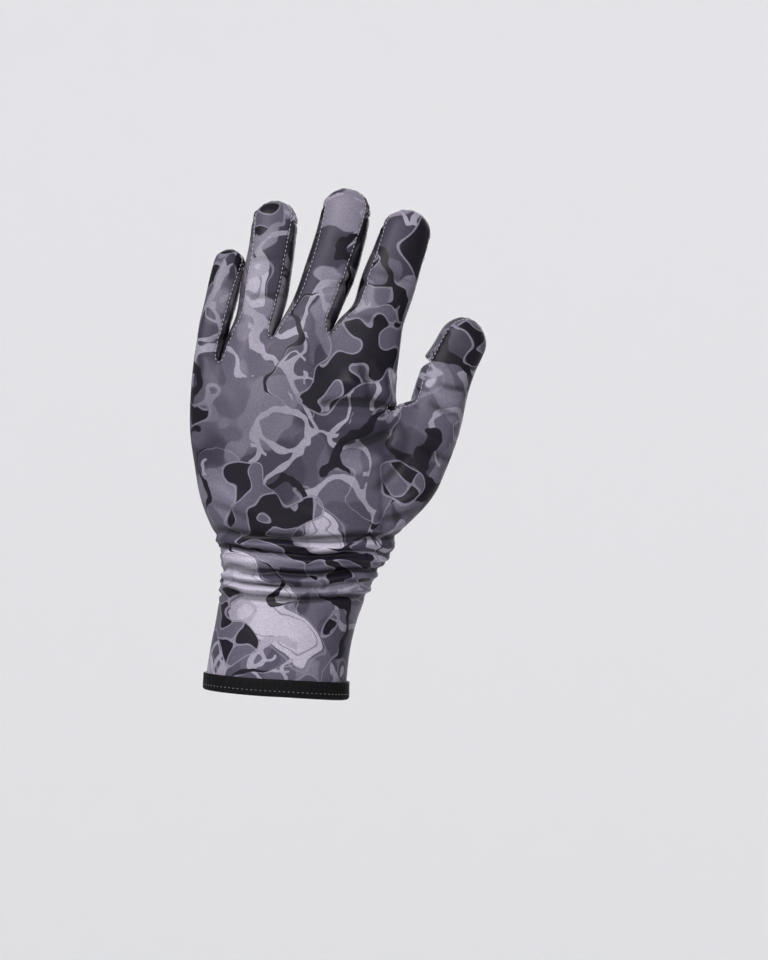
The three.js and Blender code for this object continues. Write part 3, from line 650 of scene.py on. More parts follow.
def slit_rings(cage, ring, points, distance):
    """The two edges of the slit, as rings that are one outside the thumb's front."""
    centre, direction, _, _ = limb_frame(THUMB, thumb_root(), distance)
    below, above = list(ring), list(ring)
    for i in range(THUMB_FRONT_START + 1, THUMB_FRONT_END):
        gape = math.sin(math.pi * (i - THUMB_FRONT_START) / (THUMB_FRONT_END - THUMB_FRONT_START))
        outwards = (points[i] - centre) / np.linalg.norm(points[i] - centre)
        below[i] = cage.point(points[i] - direction * SLIT_BELOW * SLIT_OPENING * gape)
        opened = points[i] + direction * (1 - SLIT_BELOW) * SLIT_OPENING * gape
        above[i] = cage.point(opened + outwards * SLIT_FLARE * gape)
    return below, above


def add_thumb(cage, rings, root_start, root_end):
    """Adds the thumb on the hole in the hand's thumb side, with a slit across its front."""
    rows = range(THUMB_ROWS)
    loop = rings[root_start][THUMB_SIDE:PALM_START]
    loop = loop + [rings[root_start + i][PALM_START] for i in rows]
    loop += rings[root_end][THUMB_SIDE + 1 : PALM_START + 1][::-1]
    loop += [rings[root_end - i][THUMB_SIDE] for i in rows]

    def panels(front):
        return lambda i: front if THUMB_FRONT_START <= i < THUMB_FRONT_END else "back_panel"

    spread = np.array([math.sin(math.radians(THUMB_SPREAD)), 0, math.cos(math.radians(THUMB_SPREAD))])
    _, start_direction, _, _ = limb_frame(THUMB, thumb_root(), 0)
    low = loop
    for points in root_rings(cage, loop, thumb_ring(0), spread, start_direction, ROOT_STEPS):
        high = [cage.point(place) for place in points]
        cage.join(low, high, panels("thumb_front"))
        low = high
    for k, distance in enumerate(limb_stations(THUMB, 0, THUMB_STEPS)[1:]):
        points = thumb_ring(distance)
        high = [cage.point(place) for place in points]
        if k != SLIT_STATION:
            cage.join(low, high, panels("thumb_tip_cap" if k > SLIT_STATION else "thumb_front"))
            low = high
            continue
        below, above = slit_rings(cage, high, points, distance)
        cage.join(low, below, panels("thumb_front"))
        low = above
    tip = cage.point(limb_point(THUMB, thumb_root(), THUMB["length"], 0, 0))
    cage.close(low, tip, panels("thumb_tip_cap"))


def glove_cage():
    cage = Cage()
    rings, root_start, root_end = add_body(cage)
    webs = add_webs(cage, rings[-1])
    for f in range(len(FINGERS)):
        add_finger(cage, f, rings[-1], webs)
    add_thumb(cage, rings, root_start, root_end)
    return cage


def subdivided(points, faces, marks, levels):
    """Points, four-cornered faces and face marks of a mesh after Catmull-Clark subdivision."""
    mesh = bpy.data.meshes.new("cage")
    mesh.from_pydata([tuple(point) for point in points], [], faces)
    mesh.polygons.foreach_set("material_index", marks)
    holder = bpy.data.objects.new("cage", mesh)
    bpy.context.scene.collection.objects.link(holder)
    modifier = holder.modifiers.new("finer", "SUBSURF")
    modifier.levels = modifier.render_levels = levels
    bpy.context.view_layer.update()
    fine = bpy.data.meshes.new_from_object(holder.evaluated_get(bpy.context.evaluated_depsgraph_get()))
    places = np.empty(len(fine.vertices) * 3)
    fine.vertices.foreach_get("co", places)
    corners = np.empty(len(fine.loops), int)
    fine.loops.foreach_get("vertex_index", corners)
    fine_marks = np.empty(len(fine.polygons), int)
    fine.polygons.foreach_get("material_index", fine_marks)
    bpy.data.objects.remove(holder)
    bpy.data.meshes.remove(mesh)
    bpy.data.meshes.remove(fine)
    return places.reshape(-1, 3), corners.reshape(-1, 4), fine_marks


def unit(vectors):
    return vectors / np.maximum(np.linalg.norm(vectors, axis=-1, keepdims=True), 1e-12)


def point_normals(points, faces):
    across = np.cross(points[faces[:, 2]] - points[faces[:, 0]], points[faces[:, 3]] - points[faces[:, 1]])
    normals = np.zeros_like(points)
    for corner in range(4):
        np.add.at(normals, faces[:, corner], across)
    return unit(normals)


def face_edges(faces):
    return faces[:, [0, 1, 1, 2, 2, 3, 3, 0]].reshape(-1, 2)


def open_edges(faces, count):
    """Edges that only one of these faces has, in that face's direction."""
    edges = face_edges(faces)
    forward = edges[:, 0] * count + edges[:, 1]
    backward = edges[:, 1] * count + edges[:, 0]
    return edges[~np.isin(forward, backward)]


def chains(edges):
    """Edges joined end to end, as lists of points. A closed chain ends where it starts."""
    following = {int(a): int(b) for a, b in edges}
    ends = set(following.values())
    starts = [a for a in following if a not in ends] + list(following)
    found = []
    for start in starts:
        if start not in following:
            continue
        chain = [start]
        while chain[-1] in following:
            chain.append(following.pop(chain[-1]))
        found.append(chain)
    return found


# Wrinkles of the cloth over the hand, seen from the back: start and end are places to the thumb side and up,
# bend is how far the middle lies off the straight line, and high and wide are the ridge's own. Negative ones
# are creases.
WRINKLE_COLUMNS = ("side", "start", "end", "bend", "high", "wide")
WRINKLES = (
    ("back", (53, 116), (22, 113), 1.5, 1.5, 2.6),
    ("back", (53, 119), (18, 121), -1.5, -1.8, 1.6),
    ("back", (52, 121), (26, 130), -2.0, 1.3, 2.3),
    ("back", (51, 112), (27, 103), 2.0, -1.2, 2.0),
    ("back", (54, 108), (32, 92), 2.0, 1.2, 2.6),
    ("back", (56, 102), (40, 84), 1.5, -0.9, 2.2),
    ("back", (35, 138), (40, 121), 0.8, -1.6, 1.8),
    ("back", (41, 139), (46, 122), 0.8, 1.3, 2.2),
    ("back", (50, 134), (54, 126), 0.0, 1.5, 2.4),
    ("back", (30, 136), (33, 124), 0.5, 0.7, 2.4),
    ("back", (58, 111), (74, 103), -1.0, 1.0, 1.9),
    ("back", (60, 105), (77, 97), -1.5, -0.9, 1.6),
    ("back", (57, 96), (74, 88), -1.0, 0.9, 2.2),
    ("back", (64, 122), (77, 116), -1.0, -0.9, 1.4),
    ("back", (66, 126), (80, 121), -1.0, 0.8, 1.5),
    ("back", (67, 130), (83, 127), -1.0, -0.8, 1.3),
    ("back", (44, 78), (62, 84), -1.5, 1.0, 2.4),
    ("back", (42, 73), (60, 78), -1.5, -0.9, 2.0),
    ("back", (-32, 88), (-12, 76), 1.5, 0.8, 2.6),
    ("back", (-30, 80), (-8, 71), 1.5, -0.7, 2.2),
    ("back", (10, 76), (34, 74), -1.0, 0.7, 2.2),
    ("back", (-24, 128), (-12, 110), 1.0, 0.5, 3.0),
    ("back", (22, 170), (40, 171), 1.0, -0.8, 1.4),
    ("back", (22, 174), (40, 174), 1.0, 0.5, 1.4),
    ("back", (24, 189), (42, 190), 0.6, -0.5, 1.1),
    ("back", (-12, 165), (6, 166), 0.8, -0.7, 1.3),
    ("back", (-11, 181), (6, 182), 0.6, -0.5, 1.1),
    ("back", (-29, 147), (-17, 149), 0.6, -0.6, 1.1),
    ("back", (33, 157), (49, 153), 0.8, -0.5, 1.9),
    ("back", (39, 176), (58, 171), 0.8, -0.6, 1.2),
    ("palm", (60, 115), (43, 109), 1.0, 1.5, 2.2),
    ("palm", (60, 111), (45, 101), 1.5, -1.4, 2.0),
    ("palm", (58, 106), (45, 86), 2.0, 1.3, 2.4),
    ("palm", (60, 116), (76, 108), -1.0, -1.2, 1.7),
    ("palm", (60, 110), (78, 101), -1.0, 1.1, 1.9),
    ("palm", (-20, 44), (24, 72), 1.5, 1.7, 2.8),
    ("palm", (-14, 38), (30, 66), 1.5, -1.3, 2.4),
    ("palm", (-22, 54), (14, 78), 1.0, 1.4, 2.4),
    ("palm", (-8, 32), (32, 52), 1.0, 0.9, 2.4),
    ("palm", (-24, 117), (34, 121), -1.5, -0.8, 2.0),
    ("palm", (3, 114), (9, 76), 1.5, -0.9, 2.6),
    ("palm", (22, 166), (40, 167), 1.0, -0.9, 1.5),
    ("palm", (24, 187), (42, 188), 0.6, -0.7, 1.2),
    ("palm", (-12, 162), (6, 163), 0.8, -0.8, 1.4),
    ("palm", (-11, 180), (6, 181), 0.6, -0.6, 1.2),
    ("palm", (-29, 145), (-17, 147), 0.6, -0.7, 1.2),
    ("palm", (34, 153), (52, 148), 0.8, -0.9, 1.6),
    ("palm", (39, 174), (58, 169), 0.8, -0.7, 1.3),
)


def waves(turns, rows):
    """Sum of sine waves, each with its height, its rate and its shift."""
    return sum(high * np.sin(rate * turns + shift) for high, rate, shift in rows)


def wrinkle_heights(points, normals):
    heights = np.zeros(len(points))
    for wrinkle in named_rows(WRINKLE_COLUMNS, WRINKLES):
        start, end = np.array(wrinkle["start"], float), np.array(wrinkle["end"], float)
        run = end - start
        places = points[:, [0, 2]] - start
        along = places @ run / (run @ run)
        across = places @ np.array([-run[1], run[0]]) / np.linalg.norm(run)
        inside = np.clip(along, 0, 1)
        off = across - wrinkle["bend"] * 4 * inside * (1 - inside)
        facing = -normals[:, 1] if wrinkle["side"] == "back" else normals[:, 1]
        fade = np.sin(np.pi * inside) ** 0.6 * smoothstep(facing, 0.05, 0.5)
        heights += wrinkle["high"] * np.exp(-((off / wrinkle["wide"]) ** 2)) * fade
    return heights


def fold_heights(points):
    """Height of the gathered folds at each point of the wrist."""
    z = points[:, 2]
    power = ROUNDNESS / 2
    depth = np.where(points[:, 1] < 0, outline_values("back", z), outline_values("palm", z))
    across = (points[:, 0] - outline_values("aside", z)) / (outline_values("width", z) / 2)
    ahead = -points[:, 1] / depth
    angles = np.degrees(
        np.arctan2(np.sign(across) * np.abs(across) ** power, np.sign(ahead) * np.abs(ahead) ** power)
    )
    angles = (angles + 90) % 360 - 90
    heights = np.zeros(len(points))
    turns = np.radians(angles)
    drifting = z + waves(turns, FOLD_DRIFT)
    for fold in named_rows(FOLD_COLUMNS, FOLDS):
        for turn in (angles, angles - 360):
            along = (turn - fold["from"]) / (fold["to"] - fold["from"])
            inside = (along > 0) & (along < 1)
            along = np.clip(along, 0, 1)
            up = FOLDS_LOW + (FOLDS_HIGH - FOLDS_LOW) * (fold["up"] + fold["slope"] * (2 * along - 1))
            away = (drifting - up) / (fold["wide"] * FOLD_PITCH)
            ridge = fold["high"] * FOLD_PITCH * np.exp(-away * away) * np.sqrt(np.sin(np.pi * along))
            heights += np.where(inside, ridge, 0)
    on_wrist = (z < THUMB_ROOT_TOP) & (np.abs(across) < 1.6)
    return heights * on_wrist * (0.8 + 0.2 * np.cos(2 * turns))


def gather_heights(points):
    """Small crisp folds among the big ones, which run out here and there."""
    z, turn = points[:, 2], np.arctan2(points[:, 0] - 5, -points[:, 1])
    drift = waves(turn, GATHER_DRIFT)
    crests = np.abs(np.sin(np.pi * (z + drift) / GATHER_PITCH)) - 0.6
    running = 0.6 + 0.4 * np.sin(2.7 * turn + z / 3.1) * np.sin(1.7 * turn - z / 4.7)
    zone = smoothstep(z, FOLDS_LOW - 2, FOLDS_LOW + 4) * smoothstep(z, FOLDS_HIGH + 4, FOLDS_HIGH - 5)
    on_wrist = np.abs(points[:, 0] - outline_values("aside", z)) < 0.8 * outline_values("width", z)
    return GATHER_HIGH * crests * running * zone * on_wrist


def cloth_unevenness(points):
    """Low waves that keep the stretched cloth from looking moulded."""
    x, y, z = points.T
    broad = np.sin(x / 9 + 1.7 * np.sin(z / 13)) * np.sin(z / 11 + 1.3 * np.sin(y / 7))
    fine = np.sin(z / 2.9 + 1.9 * np.sin(x / 5.3)) * np.sin(x / 4.1 + 1.1 * np.sin(y / 3.7))
    return 0.28 * broad + 0.05 * fine


def unfolded(heights):
    """Heights on the cloth before it was gathered round the wrist."""
    samples = np.linspace(-5, 260, 1500)
    rising = smoothstep(samples, FOLDS_LOW - 6, FOLDS_LOW + 2)
    falling = smoothstep(samples, FOLDS_HIGH + 8, FOLDS_HIGH - 2)
    run = np.cumsum(1 + CLOTH_GATHERED * rising * falling) * (samples[1] - samples[0])
    return np.interp(heights, samples, run)


class Skin:
    """Fine outside of the glove: points and normals in millimetres, and faces with their panels."""

    def __init__(self, points, faces, panels):
        self.points = points
        self.cloth = np.column_stack([points[:, :2], unfolded(points[:, 2])])
        self.faces = faces
        self.panels = panels
        self.normals = point_normals(points, faces)

    def raise_by(self, heights):
        self.points = self.points + self.normals * heights[:, None]
        self.normals = point_normals(self.points, self.faces)

    def seam_edges(self, first, second=None):
        """Edges between two panels, or a panel's free edges, as the first panel's faces run."""
        count = len(self.points)
        edges = open_edges(self.faces[self.panels == first], count)
        backward = edges[:, 1] * count + edges[:, 0]
        others = self.faces[self.panels != first] if second is None else self.faces[self.panels == second]
        there = face_edges(others)
        met = np.isin(backward, there[:, 0] * count + there[:, 1])
        return edges[~met] if second is None else edges[met]

    def towards(self, panel, indices):
        """Direction in the surface from each of a panel's edge points into the panel."""
        own = self.faces[self.panels == panel]
        pulls = np.zeros_like(self.points)
        middles = self.points[own].mean(axis=1)
        for corner in range(4):
            np.add.at(pulls, own[:, corner], middles - self.points[own[:, corner]])
        pulls, normals = pulls[indices], self.normals[indices]
        pulls = pulls - normals * (pulls * normals).sum(axis=1, keepdims=True)
        return pulls


def seam_places(skin):
    """Distance of each point from the nearest seam, and how far along the seam it is."""
    runs = {}
    for panel in PANELS:
        for chain in chains(open_edges(skin.faces[skin.panels == panel], len(skin.points))):
            steps = np.linalg.norm(np.diff(skin.points[chain], axis=0), axis=1)
            for index, run in zip(chain, np.concatenate([[0], np.cumsum(steps)])):
                runs.setdefault(index, run)
    tree = KDTree(len(runs))
    for index in runs:
        tree.insert(skin.points[index], index)
    tree.balance()
    found = [tree.find(point) for point in skin.points]
    return np.array([near[2] for near in found]), np.array([runs[near[1]] for near in found])


IRON_PLACES = ((54, 151), (-35, 141))
IRON_REACH = 7
IRON_ROUNDS = 60


def ironed(points, faces):
    """Eases the sharp bends where the outer fingers leave the hand."""
    edges = face_edges(faces)
    meetings = np.bincount(edges[:, 0], minlength=len(points))[:, None]
    ease = np.zeros(len(points))
    for place in IRON_PLACES:
        away = np.linalg.norm(points[:, [0, 2]] - place, axis=1)
        ease = np.maximum(ease, np.exp(-((away / IRON_REACH) ** 2)))
    near = ease > 0.02
    own = near[edges[:, 0]]
    for _ in range(IRON_ROUNDS):
        around = np.zeros_like(points)
        np.add.at(around, edges[own, 0], points[edges[own, 1]])
        eased = mix(points, around / np.maximum(meetings, 1), ease[:, None])
        points = np.where(near[:, None], eased, points)
    return points


PUCKER_PITCH = 4.6
CREST_HEIGHT = 1.6


@functools.cache
def glove_skin():
    """Fine outside of the glove: the cage made smooth, with its folds, wrinkles and sunk seams."""
    sizes = bpy.context.scene.glove_sizes
    cage = glove_cage()
    marks = [PANELS.index(panel) for panel in cage.panels]
    wanted = np.array(cage.points)
    points = wanted.copy()
    for _ in range(CAGE_FITS):
        limit, _, _ = subdivided(points, cage.faces, marks, 1)
        points += CAGE_FIT_SHARE * (wanted - limit[: len(wanted)])
    fine, faces, fine_marks = subdivided(points, cage.faces, marks, sizes.detail)
    skin = Skin(ironed(fine, faces), faces, np.array(PANELS)[fine_marks])
    folds = FOLD_LIFT * fold_heights(skin.points) + gather_heights(skin.points)
    wrinkles = wrinkle_heights(skin.points, skin.normals)
    skin.raise_by(folds)
    skin.raise_by(wrinkles + cloth_unevenness(skin.points))
    # Crest heights of the folds and wrinkles. The print uses them for painted shade in the valleys and a
    # lighter tone on the crests.
    skin.crests = np.clip((folds + wrinkles) / CREST_HEIGHT, -1, 1)
    away, run = seam_places(skin)
    width = sizes.groove_width / MM
    groove = np.exp(-((away / width) ** 2))
    bead = np.exp(-(((away - 2 * width) / width) ** 2))
    pucker = 0.5 + 0.5 * np.sin(2 * np.pi * run / PUCKER_PITCH + 1.5 * np.sin(run / 9))
    skin.raise_by((0.45 * bead * pucker - groove) * sizes.groove / MM)
    return skin


def ring_faces(here, there, count):
    """Faces from one ring of points to the next."""
    after = [(i + 1) % count for i in range(count)]
    return [[here + i, there + i, there + after[i], here + after[i]] for i in range(count)]


CLOTH_PLACE = "cloth_place"
CREST = "crest"


def new_object(name, points, faces, materials, face_materials=None):
    """Makes a mesh from points in millimetres and links it at the origin."""
    mesh = bpy.data.meshes.new(name)
    mesh.from_pydata([tuple(point) for point in np.asarray(points) * MM], [], faces)
    for material in materials:
        mesh.materials.append(material)
    if face_materials is not None:
        mesh.polygons.foreach_set("material_index", face_materials)
    mesh.polygons.foreach_set("use_smooth", [True] * len(mesh.polygons))
    mesh.update()
    made = bpy.data.objects.new(name, mesh)
    bpy.context.scene.collection.objects.link(made)
    return made


EDGE_DRAW = 0.3
EDGE_BULGE = 0.24


def panel_wall(skin, panel, thickness):
    """A closed wall under a panel of the skin, with rounded edges along its seams."""
    count = len(skin.points)
    own = skin.faces[skin.panels == panel]
    used = np.unique(own)
    index = np.full(count, -1)
    index[used] = np.arange(len(used))
    outer = skin.points[used].copy()
    rim = open_edges(own, count)
    edge_points = np.unique(rim)
    pulls = skin.towards(panel, edge_points)
    reach = np.linalg.norm(pulls, axis=1, keepdims=True)
    inwards = unit(pulls) * np.minimum(EDGE_DRAW, 0.25 * reach)
    outer[index[edge_points]] += inwards
    inner = outer - skin.normals[used] * thickness
    middle = (outer + inner)[index[edge_points]] / 2 - inwards * (EDGE_BULGE / EDGE_DRAW)
    on_rim = np.full(count, -1)
    on_rim[edge_points] = np.arange(len(edge_points)) + 2 * len(used)
    points = np.vstack([outer, inner, middle])
    outside = index[own]
    inside = (index[own] + len(used))[:, ::-1]
    start, end = rim[:, 0], rim[:, 1]
    upper = np.column_stack([index[end], index[start], on_rim[start], on_rim[end]])
    lower = np.column_stack([on_rim[end], on_rim[start], index[start] + len(used), index[end] + len(used)])
    faces = np.vstack([outside, inside, upper, lower]).tolist()
    marks = [0] * len(outside) + [1] * len(inside) + [0] * (len(upper) + len(lower))
    origin = np.concatenate([used, used, edge_points])
    return points, faces, marks, origin


class Tree:
    """Short ways to add nodes to a tree."""

    def __init__(self, tree):
        self.tree = tree

    def add(self, kind, inputs=None, **settings):
        node = self.tree.nodes.new(kind)
        for name, value in settings.items():
            setattr(node, name, value)
        for name, value in (inputs or {}).items():
            self.put(node.inputs[name], value)
        return node

    def put(self, socket, value):
        if isinstance(value, bpy.types.NodeSocket):
            self.tree.links.new(value, socket)
        elif socket.type == "RGBA" and len(value) == 3:
            socket.default_value = (*value, 1)
        else:
            socket.default_value = value

    def math(self, operation, first, second=0.0, third=0.0):
        return self.add("ShaderNodeMath", {0: first, 1: second, 2: third}, operation=operation).outputs[0]

    def times(self, first, second):
        return self.math("MULTIPLY", first, second)

    def line(self, value, slope, start):
        """A straight line: value times slope, and start."""
        return self.math("MULTIPLY_ADD", value, slope, start)

    def vector(self, operation, first, second=(0.0, 0.0, 0.0)):
        return self.add("ShaderNodeVectorMath", {0: first, 1: second}, operation=operation).outputs[0]


class Nodes(Tree):
    """Nodes of one material."""

    def __init__(self, name):
        self.material = bpy.data.materials.new(name)
        self.material.use_nodes = True
        super().__init__(self.material.node_tree)
        self.tree.nodes.clear()
        self.output = self.tree.nodes.new("ShaderNodeOutputMaterial")

    def blend(self, share, first, second):
        node = self.add("ShaderNodeMix", data_type="RGBA")
        self.put(node.inputs["Factor"], share)
        self.put(node.inputs[6], first)
        self.put(node.inputs[7], second)
        return node.outputs[2]

    def step(self, value, low, high):
        """0 below low and 1 above high, with a soft edge between them."""
        inputs = {"Value": value, "From Min": low, "From Max": high}
        return self.add("ShaderNodeMapRange", inputs, interpolation_type="SMOOTHSTEP").outputs[0]

    def band(self, value, low, high, soft):
        """1 between low and high, with soft edges."""
        return self.times(self.step(value, low - soft, low), self.step(value, high + soft, high))

    def places(self):
        """Object coordinates in millimetres."""
        coordinates = self.add("ShaderNodeTexCoord").outputs["Object"]
        scale = (1 / MM, 1 / MM, 1 / MM)
        return self.add("ShaderNodeMapping", {"Vector": coordinates, "Scale": scale}).outputs[0]

    def noise(self, places, size, detail=2.0, roughness=0.5, output="Fac"):
        inputs = {"Vector": places, "Scale": 1 / size, "Detail": detail, "Roughness": roughness}
        return self.add("ShaderNodeTexNoise", inputs).outputs[output]

    def warped(self, places, size, reach, detail=1.0):
        """Places pushed about by noise."""
        noise = self.noise(places, size, detail, output="Color")
        centred = self.vector("SUBTRACT", noise, (0.5, 0.5, 0.5))
        scaled = self.vector("MULTIPLY", centred, (reach, reach, reach))
        return self.vector("ADD", places, scaled)

    def shaded(self, tint, value):
        """A colour made lighter or darker."""
        return self.add("ShaderNodeHueSaturation", {"Color": tint, "Value": value}).outputs[0]

    def surface(self, inputs):
        shader = self.add("ShaderNodeBsdfPrincipled", inputs)
        self.tree.links.new(shader.outputs[0], self.output.inputs["Surface"])
        return self.material


def knit_bump(nodes, places):
    """Fine ribs and unevenness of a smooth knitted cloth."""
    inputs = {"Vector": places, "Scale": 0.55, "Distortion": 1.2, "Detail": 1.0}
    ribs = nodes.add("ShaderNodeTexWave", inputs)
    grain = nodes.noise(places, 0.6, 3.0, 0.6)
    crumple = nodes.noise(places, 5.0, 2.0, 0.5)
    height = nodes.line(grain, 0.6, nodes.times(ribs.outputs["Fac"], 0.3))
    height = nodes.line(crumple, 0.8, height)
    inputs = {"Strength": 0.35, "Distance": 0.00012, "Height": height}
    return nodes.add("ShaderNodeBump", inputs).outputs[0]


SLOPE_STEP = 0.8


def veins(nodes, places):
    """Distance in millimetres from smooth veins that fork: under 0 inside them."""
    wobbly = nodes.warped(nodes.warped(places, 17, 9, 0.0), 4.5, 1.7, 0.0)
    reach = nodes.noise(places, 34, 0.0)
    far = nodes.line(reach, -60.0, 26.0)
    thick = nodes.line(nodes.noise(places, 7, 0.0), 2.6, -0.02)

    def level(size, shift):
        """Distance from the line where noise is at its middle, from its value and its slope."""

        def sample(x, z):
            moved = nodes.vector("ADD", wobbly, (shift[0] + x, shift[1], shift[2] + z))
            return nodes.noise(moved, size, 0.0)

        here = sample(0, 0)
        across = nodes.math("SUBTRACT", sample(SLOPE_STEP, 0), here)
        up = nodes.math("SUBTRACT", sample(0, SLOPE_STEP), here)
        slope = nodes.add("ShaderNodeCombineXYZ", {"X": across, "Y": up}).outputs[0]
        steep = nodes.add("ShaderNodeVectorMath", {0: slope}, operation="LENGTH").outputs["Value"]
        steep = nodes.math("MAXIMUM", nodes.math("DIVIDE", steep, SLOPE_STEP), 0.45 / size)
        return nodes.math("DIVIDE", nodes.math("SUBTRACT", here, 0.5), steep)

    def vein(level_set, width, side):
        line = nodes.math("SUBTRACT", nodes.math("ABSOLUTE", level_set), width)
        return nodes.math("SMOOTH_MAX", nodes.math("SMOOTH_MAX", line, side, 0.8), far, 1.4)

    trunk, branch, twig = level(26, (0, 0, 0)), level(19, (300, 50, 90)), level(12, (90, 400, 10))
    thinner = nodes.times(thick, 0.75)
    near = nodes.math("SUBTRACT", nodes.math("ABSOLUTE", branch), 3.5)
    one = vein(trunk, thick, -5.0)
    two = vein(branch, thinner, trunk)
    three = vein(twig, nodes.times(thick, 0.55), nodes.math("SMOOTH_MAX", near, trunk, 1.0))
    forked = nodes.math("SMOOTH_MIN", one, two, 1.6)
    return nodes.math("SMOOTH_MIN", forked, three, 1.2)


def printed_cloth(name, offset, shade):
    """Stretch cloth with a camouflage print: soft patches, pale veins, and dark clusters with pebbles. The
    shade argument darkens the whole print as painted shade. Fold and crease valleys get painted shade, and
    crests get lighter, partly as stretched print and partly as a painted highlight.
    """
    colours = bpy.context.scene.glove_colours
    ink, slate, stone, ash, mist = (
        tuple(getattr(colours, tone)) for tone in ("ink", "slate", "stone", "ash", "mist")
    )
    nodes = Nodes(name)
    plain = nodes.places()
    cloth = nodes.add("ShaderNodeAttribute", attribute_name=CLOTH_PLACE).outputs["Vector"]
    places = nodes.add("ShaderNodeMapping", {"Vector": cloth, "Location": offset}).outputs[0]
    drifting = nodes.warped(places, 24, 16, 0.0)

    height = nodes.add("ShaderNodeSeparateXYZ", {"Vector": plain}).outputs["Z"]
    on_hand = nodes.step(height, FOLDS_LOW, FOLDS_HIGH + 12)
    on_fingers = nodes.step(height, KNUCKLE_RISE - 8, KNUCKLE_RISE + 22)

    ground = nodes.noise(drifting, 42, 0.5, 0.4)
    tone = nodes.blend(nodes.step(ground, 0.52, 0.54), slate, stone)
    patches = nodes.noise(nodes.warped(places, 11, 5), 24, 1.0, 0.4)
    covering = nodes.line(on_fingers, 0.4, 0.55)
    patches = nodes.line(on_fingers, 0.03, patches)
    tone = nodes.blend(nodes.times(nodes.step(patches, 0.55, 0.57), covering), tone, ash)
    tone = nodes.blend(nodes.times(nodes.step(patches, 0.42, 0.4), 0.6), tone, slate)

    pale = nodes.noise(nodes.warped(places, 15, 9), 27, 0.8, 0.4)
    pale = nodes.line(on_hand, -0.09, pale)
    pale = nodes.line(on_fingers, -0.035, pale)
    tone = nodes.blend(nodes.times(nodes.band(pale, 0.53, 0.54, 0.003), 0.7), tone, ash)
    tone = nodes.blend(nodes.step(pale, 0.555, 0.56), tone, mist)
    tone = nodes.blend(nodes.times(nodes.band(pale, 0.6, 0.608, 0.003), 0.6), tone, stone)

    vein = veins(nodes, places)
    tone = nodes.blend(nodes.step(vein, 0.12, -0.12), tone, nodes.blend(0.5, ash, mist))

    line = nodes.noise(nodes.warped(places, 8, 5), 30, 1.2, 0.45)
    heavy = nodes.line(nodes.noise(places, 22, 0.0), 0.11, -0.046)
    away = nodes.math("ABSOLUTE", nodes.math("SUBTRACT", line, 0.5))
    tone = nodes.blend(nodes.band(line, 0.508, 0.515, 0.002), tone, nodes.blend(0.35, tone, mist))
    tone = nodes.blend(nodes.step(nodes.math("SUBTRACT", away, heavy), 0.001, -0.001), tone, ink)

    cluster = nodes.noise(nodes.warped(places, 13, 7, 0.5), 29, 1.2, 0.42)
    pebbles = nodes.noise(nodes.warped(places, 9, 3.0, 0.0), 9.0, 0.0, 0.4)
    filled = nodes.blend(nodes.step(pebbles, 0.495, 0.5), ink, ash)
    filled = nodes.blend(nodes.step(pebbles, 0.545, 0.55), filled, stone)
    tone = nodes.blend(nodes.band(cluster, 0.55, 0.56, 0.002), tone, ash)
    tone = nodes.blend(nodes.step(cluster, 0.563, 0.567), tone, filled)

    wash = nodes.noise(places, 32, 2.0, 0.5)
    # Random tone from the wash, times shade: a shade below 1 is painted shade, which the side strips get.
    lit = nodes.line(wash, 0.9 * shade, 0.55 * shade)
    lit = nodes.times(lit, nodes.line(on_hand, -0.1, 1.1))
    # Painted shade and highlight from the folds and wrinkles. Crests are a little lighter, partly as
    # stretched print and partly as a painted highlight. Valleys are darker as painted shade.
    crest = nodes.add("ShaderNodeAttribute", attribute_name=CREST).outputs["Fac"]
    lit = nodes.times(lit, nodes.line(crest, 0.25, 1.0))
    painted_valley_shade = nodes.step(crest, -0.02, -0.55)
    lit = nodes.times(lit, nodes.line(painted_valley_shade, -0.56, 1.0))
    grain = nodes.noise(plain, 0.6, 2.0, 0.6)
    speckled = nodes.shaded(nodes.shaded(tone, lit), nodes.line(grain, 0.9, 0.55))
    return nodes.surface(
        {
            "Base Color": speckled,
            "Roughness": nodes.line(grain, 0.16, 0.44),
            "Normal": knit_bump(nodes, plain),
            "Specular IOR Level": 0.1,
        }
    )


def plain_cloth(name, tint, roughness, sheen):
    nodes = Nodes(name)
    places = nodes.places()
    grain = nodes.noise(places, 0.8, 3.0, 0.6)
    worn = nodes.noise(places, 12, 2.0, 0.5)
    shade = nodes.shaded(tint, nodes.line(grain, 0.35, nodes.line(worn, 0.2, 0.72)))
    return nodes.surface(
        {
            "Base Color": shade,
            "Roughness": nodes.line(grain, 0.15, roughness - 0.07),
            "Normal": knit_bump(nodes, places),
            "Sheen Weight": sheen,
            "Sheen Roughness": 0.4,
            "Specular IOR Level": 0.12,
        }
    )


@functools.cache
def inside_cloth():
    return plain_cloth("cloth_inside", tuple(bpy.context.scene.glove_colours.inside), 0.8, 0.05)


@functools.cache
def silicone():
    nodes = Nodes("silicone")
    grain = nodes.noise(nodes.places(), 1.5, 2.0, 0.5)
    return nodes.surface(
        {
            "Base Color": tuple(bpy.context.scene.glove_colours.dot),
            "Roughness": nodes.line(grain, 0.12, 0.16),
            "Subsurface Weight": 0.25,
            "Subsurface Radius": (0.002, 0.002, 0.002),
            "Coat Weight": 0.5,
            "Coat Roughness": 0.08,
        }
    )


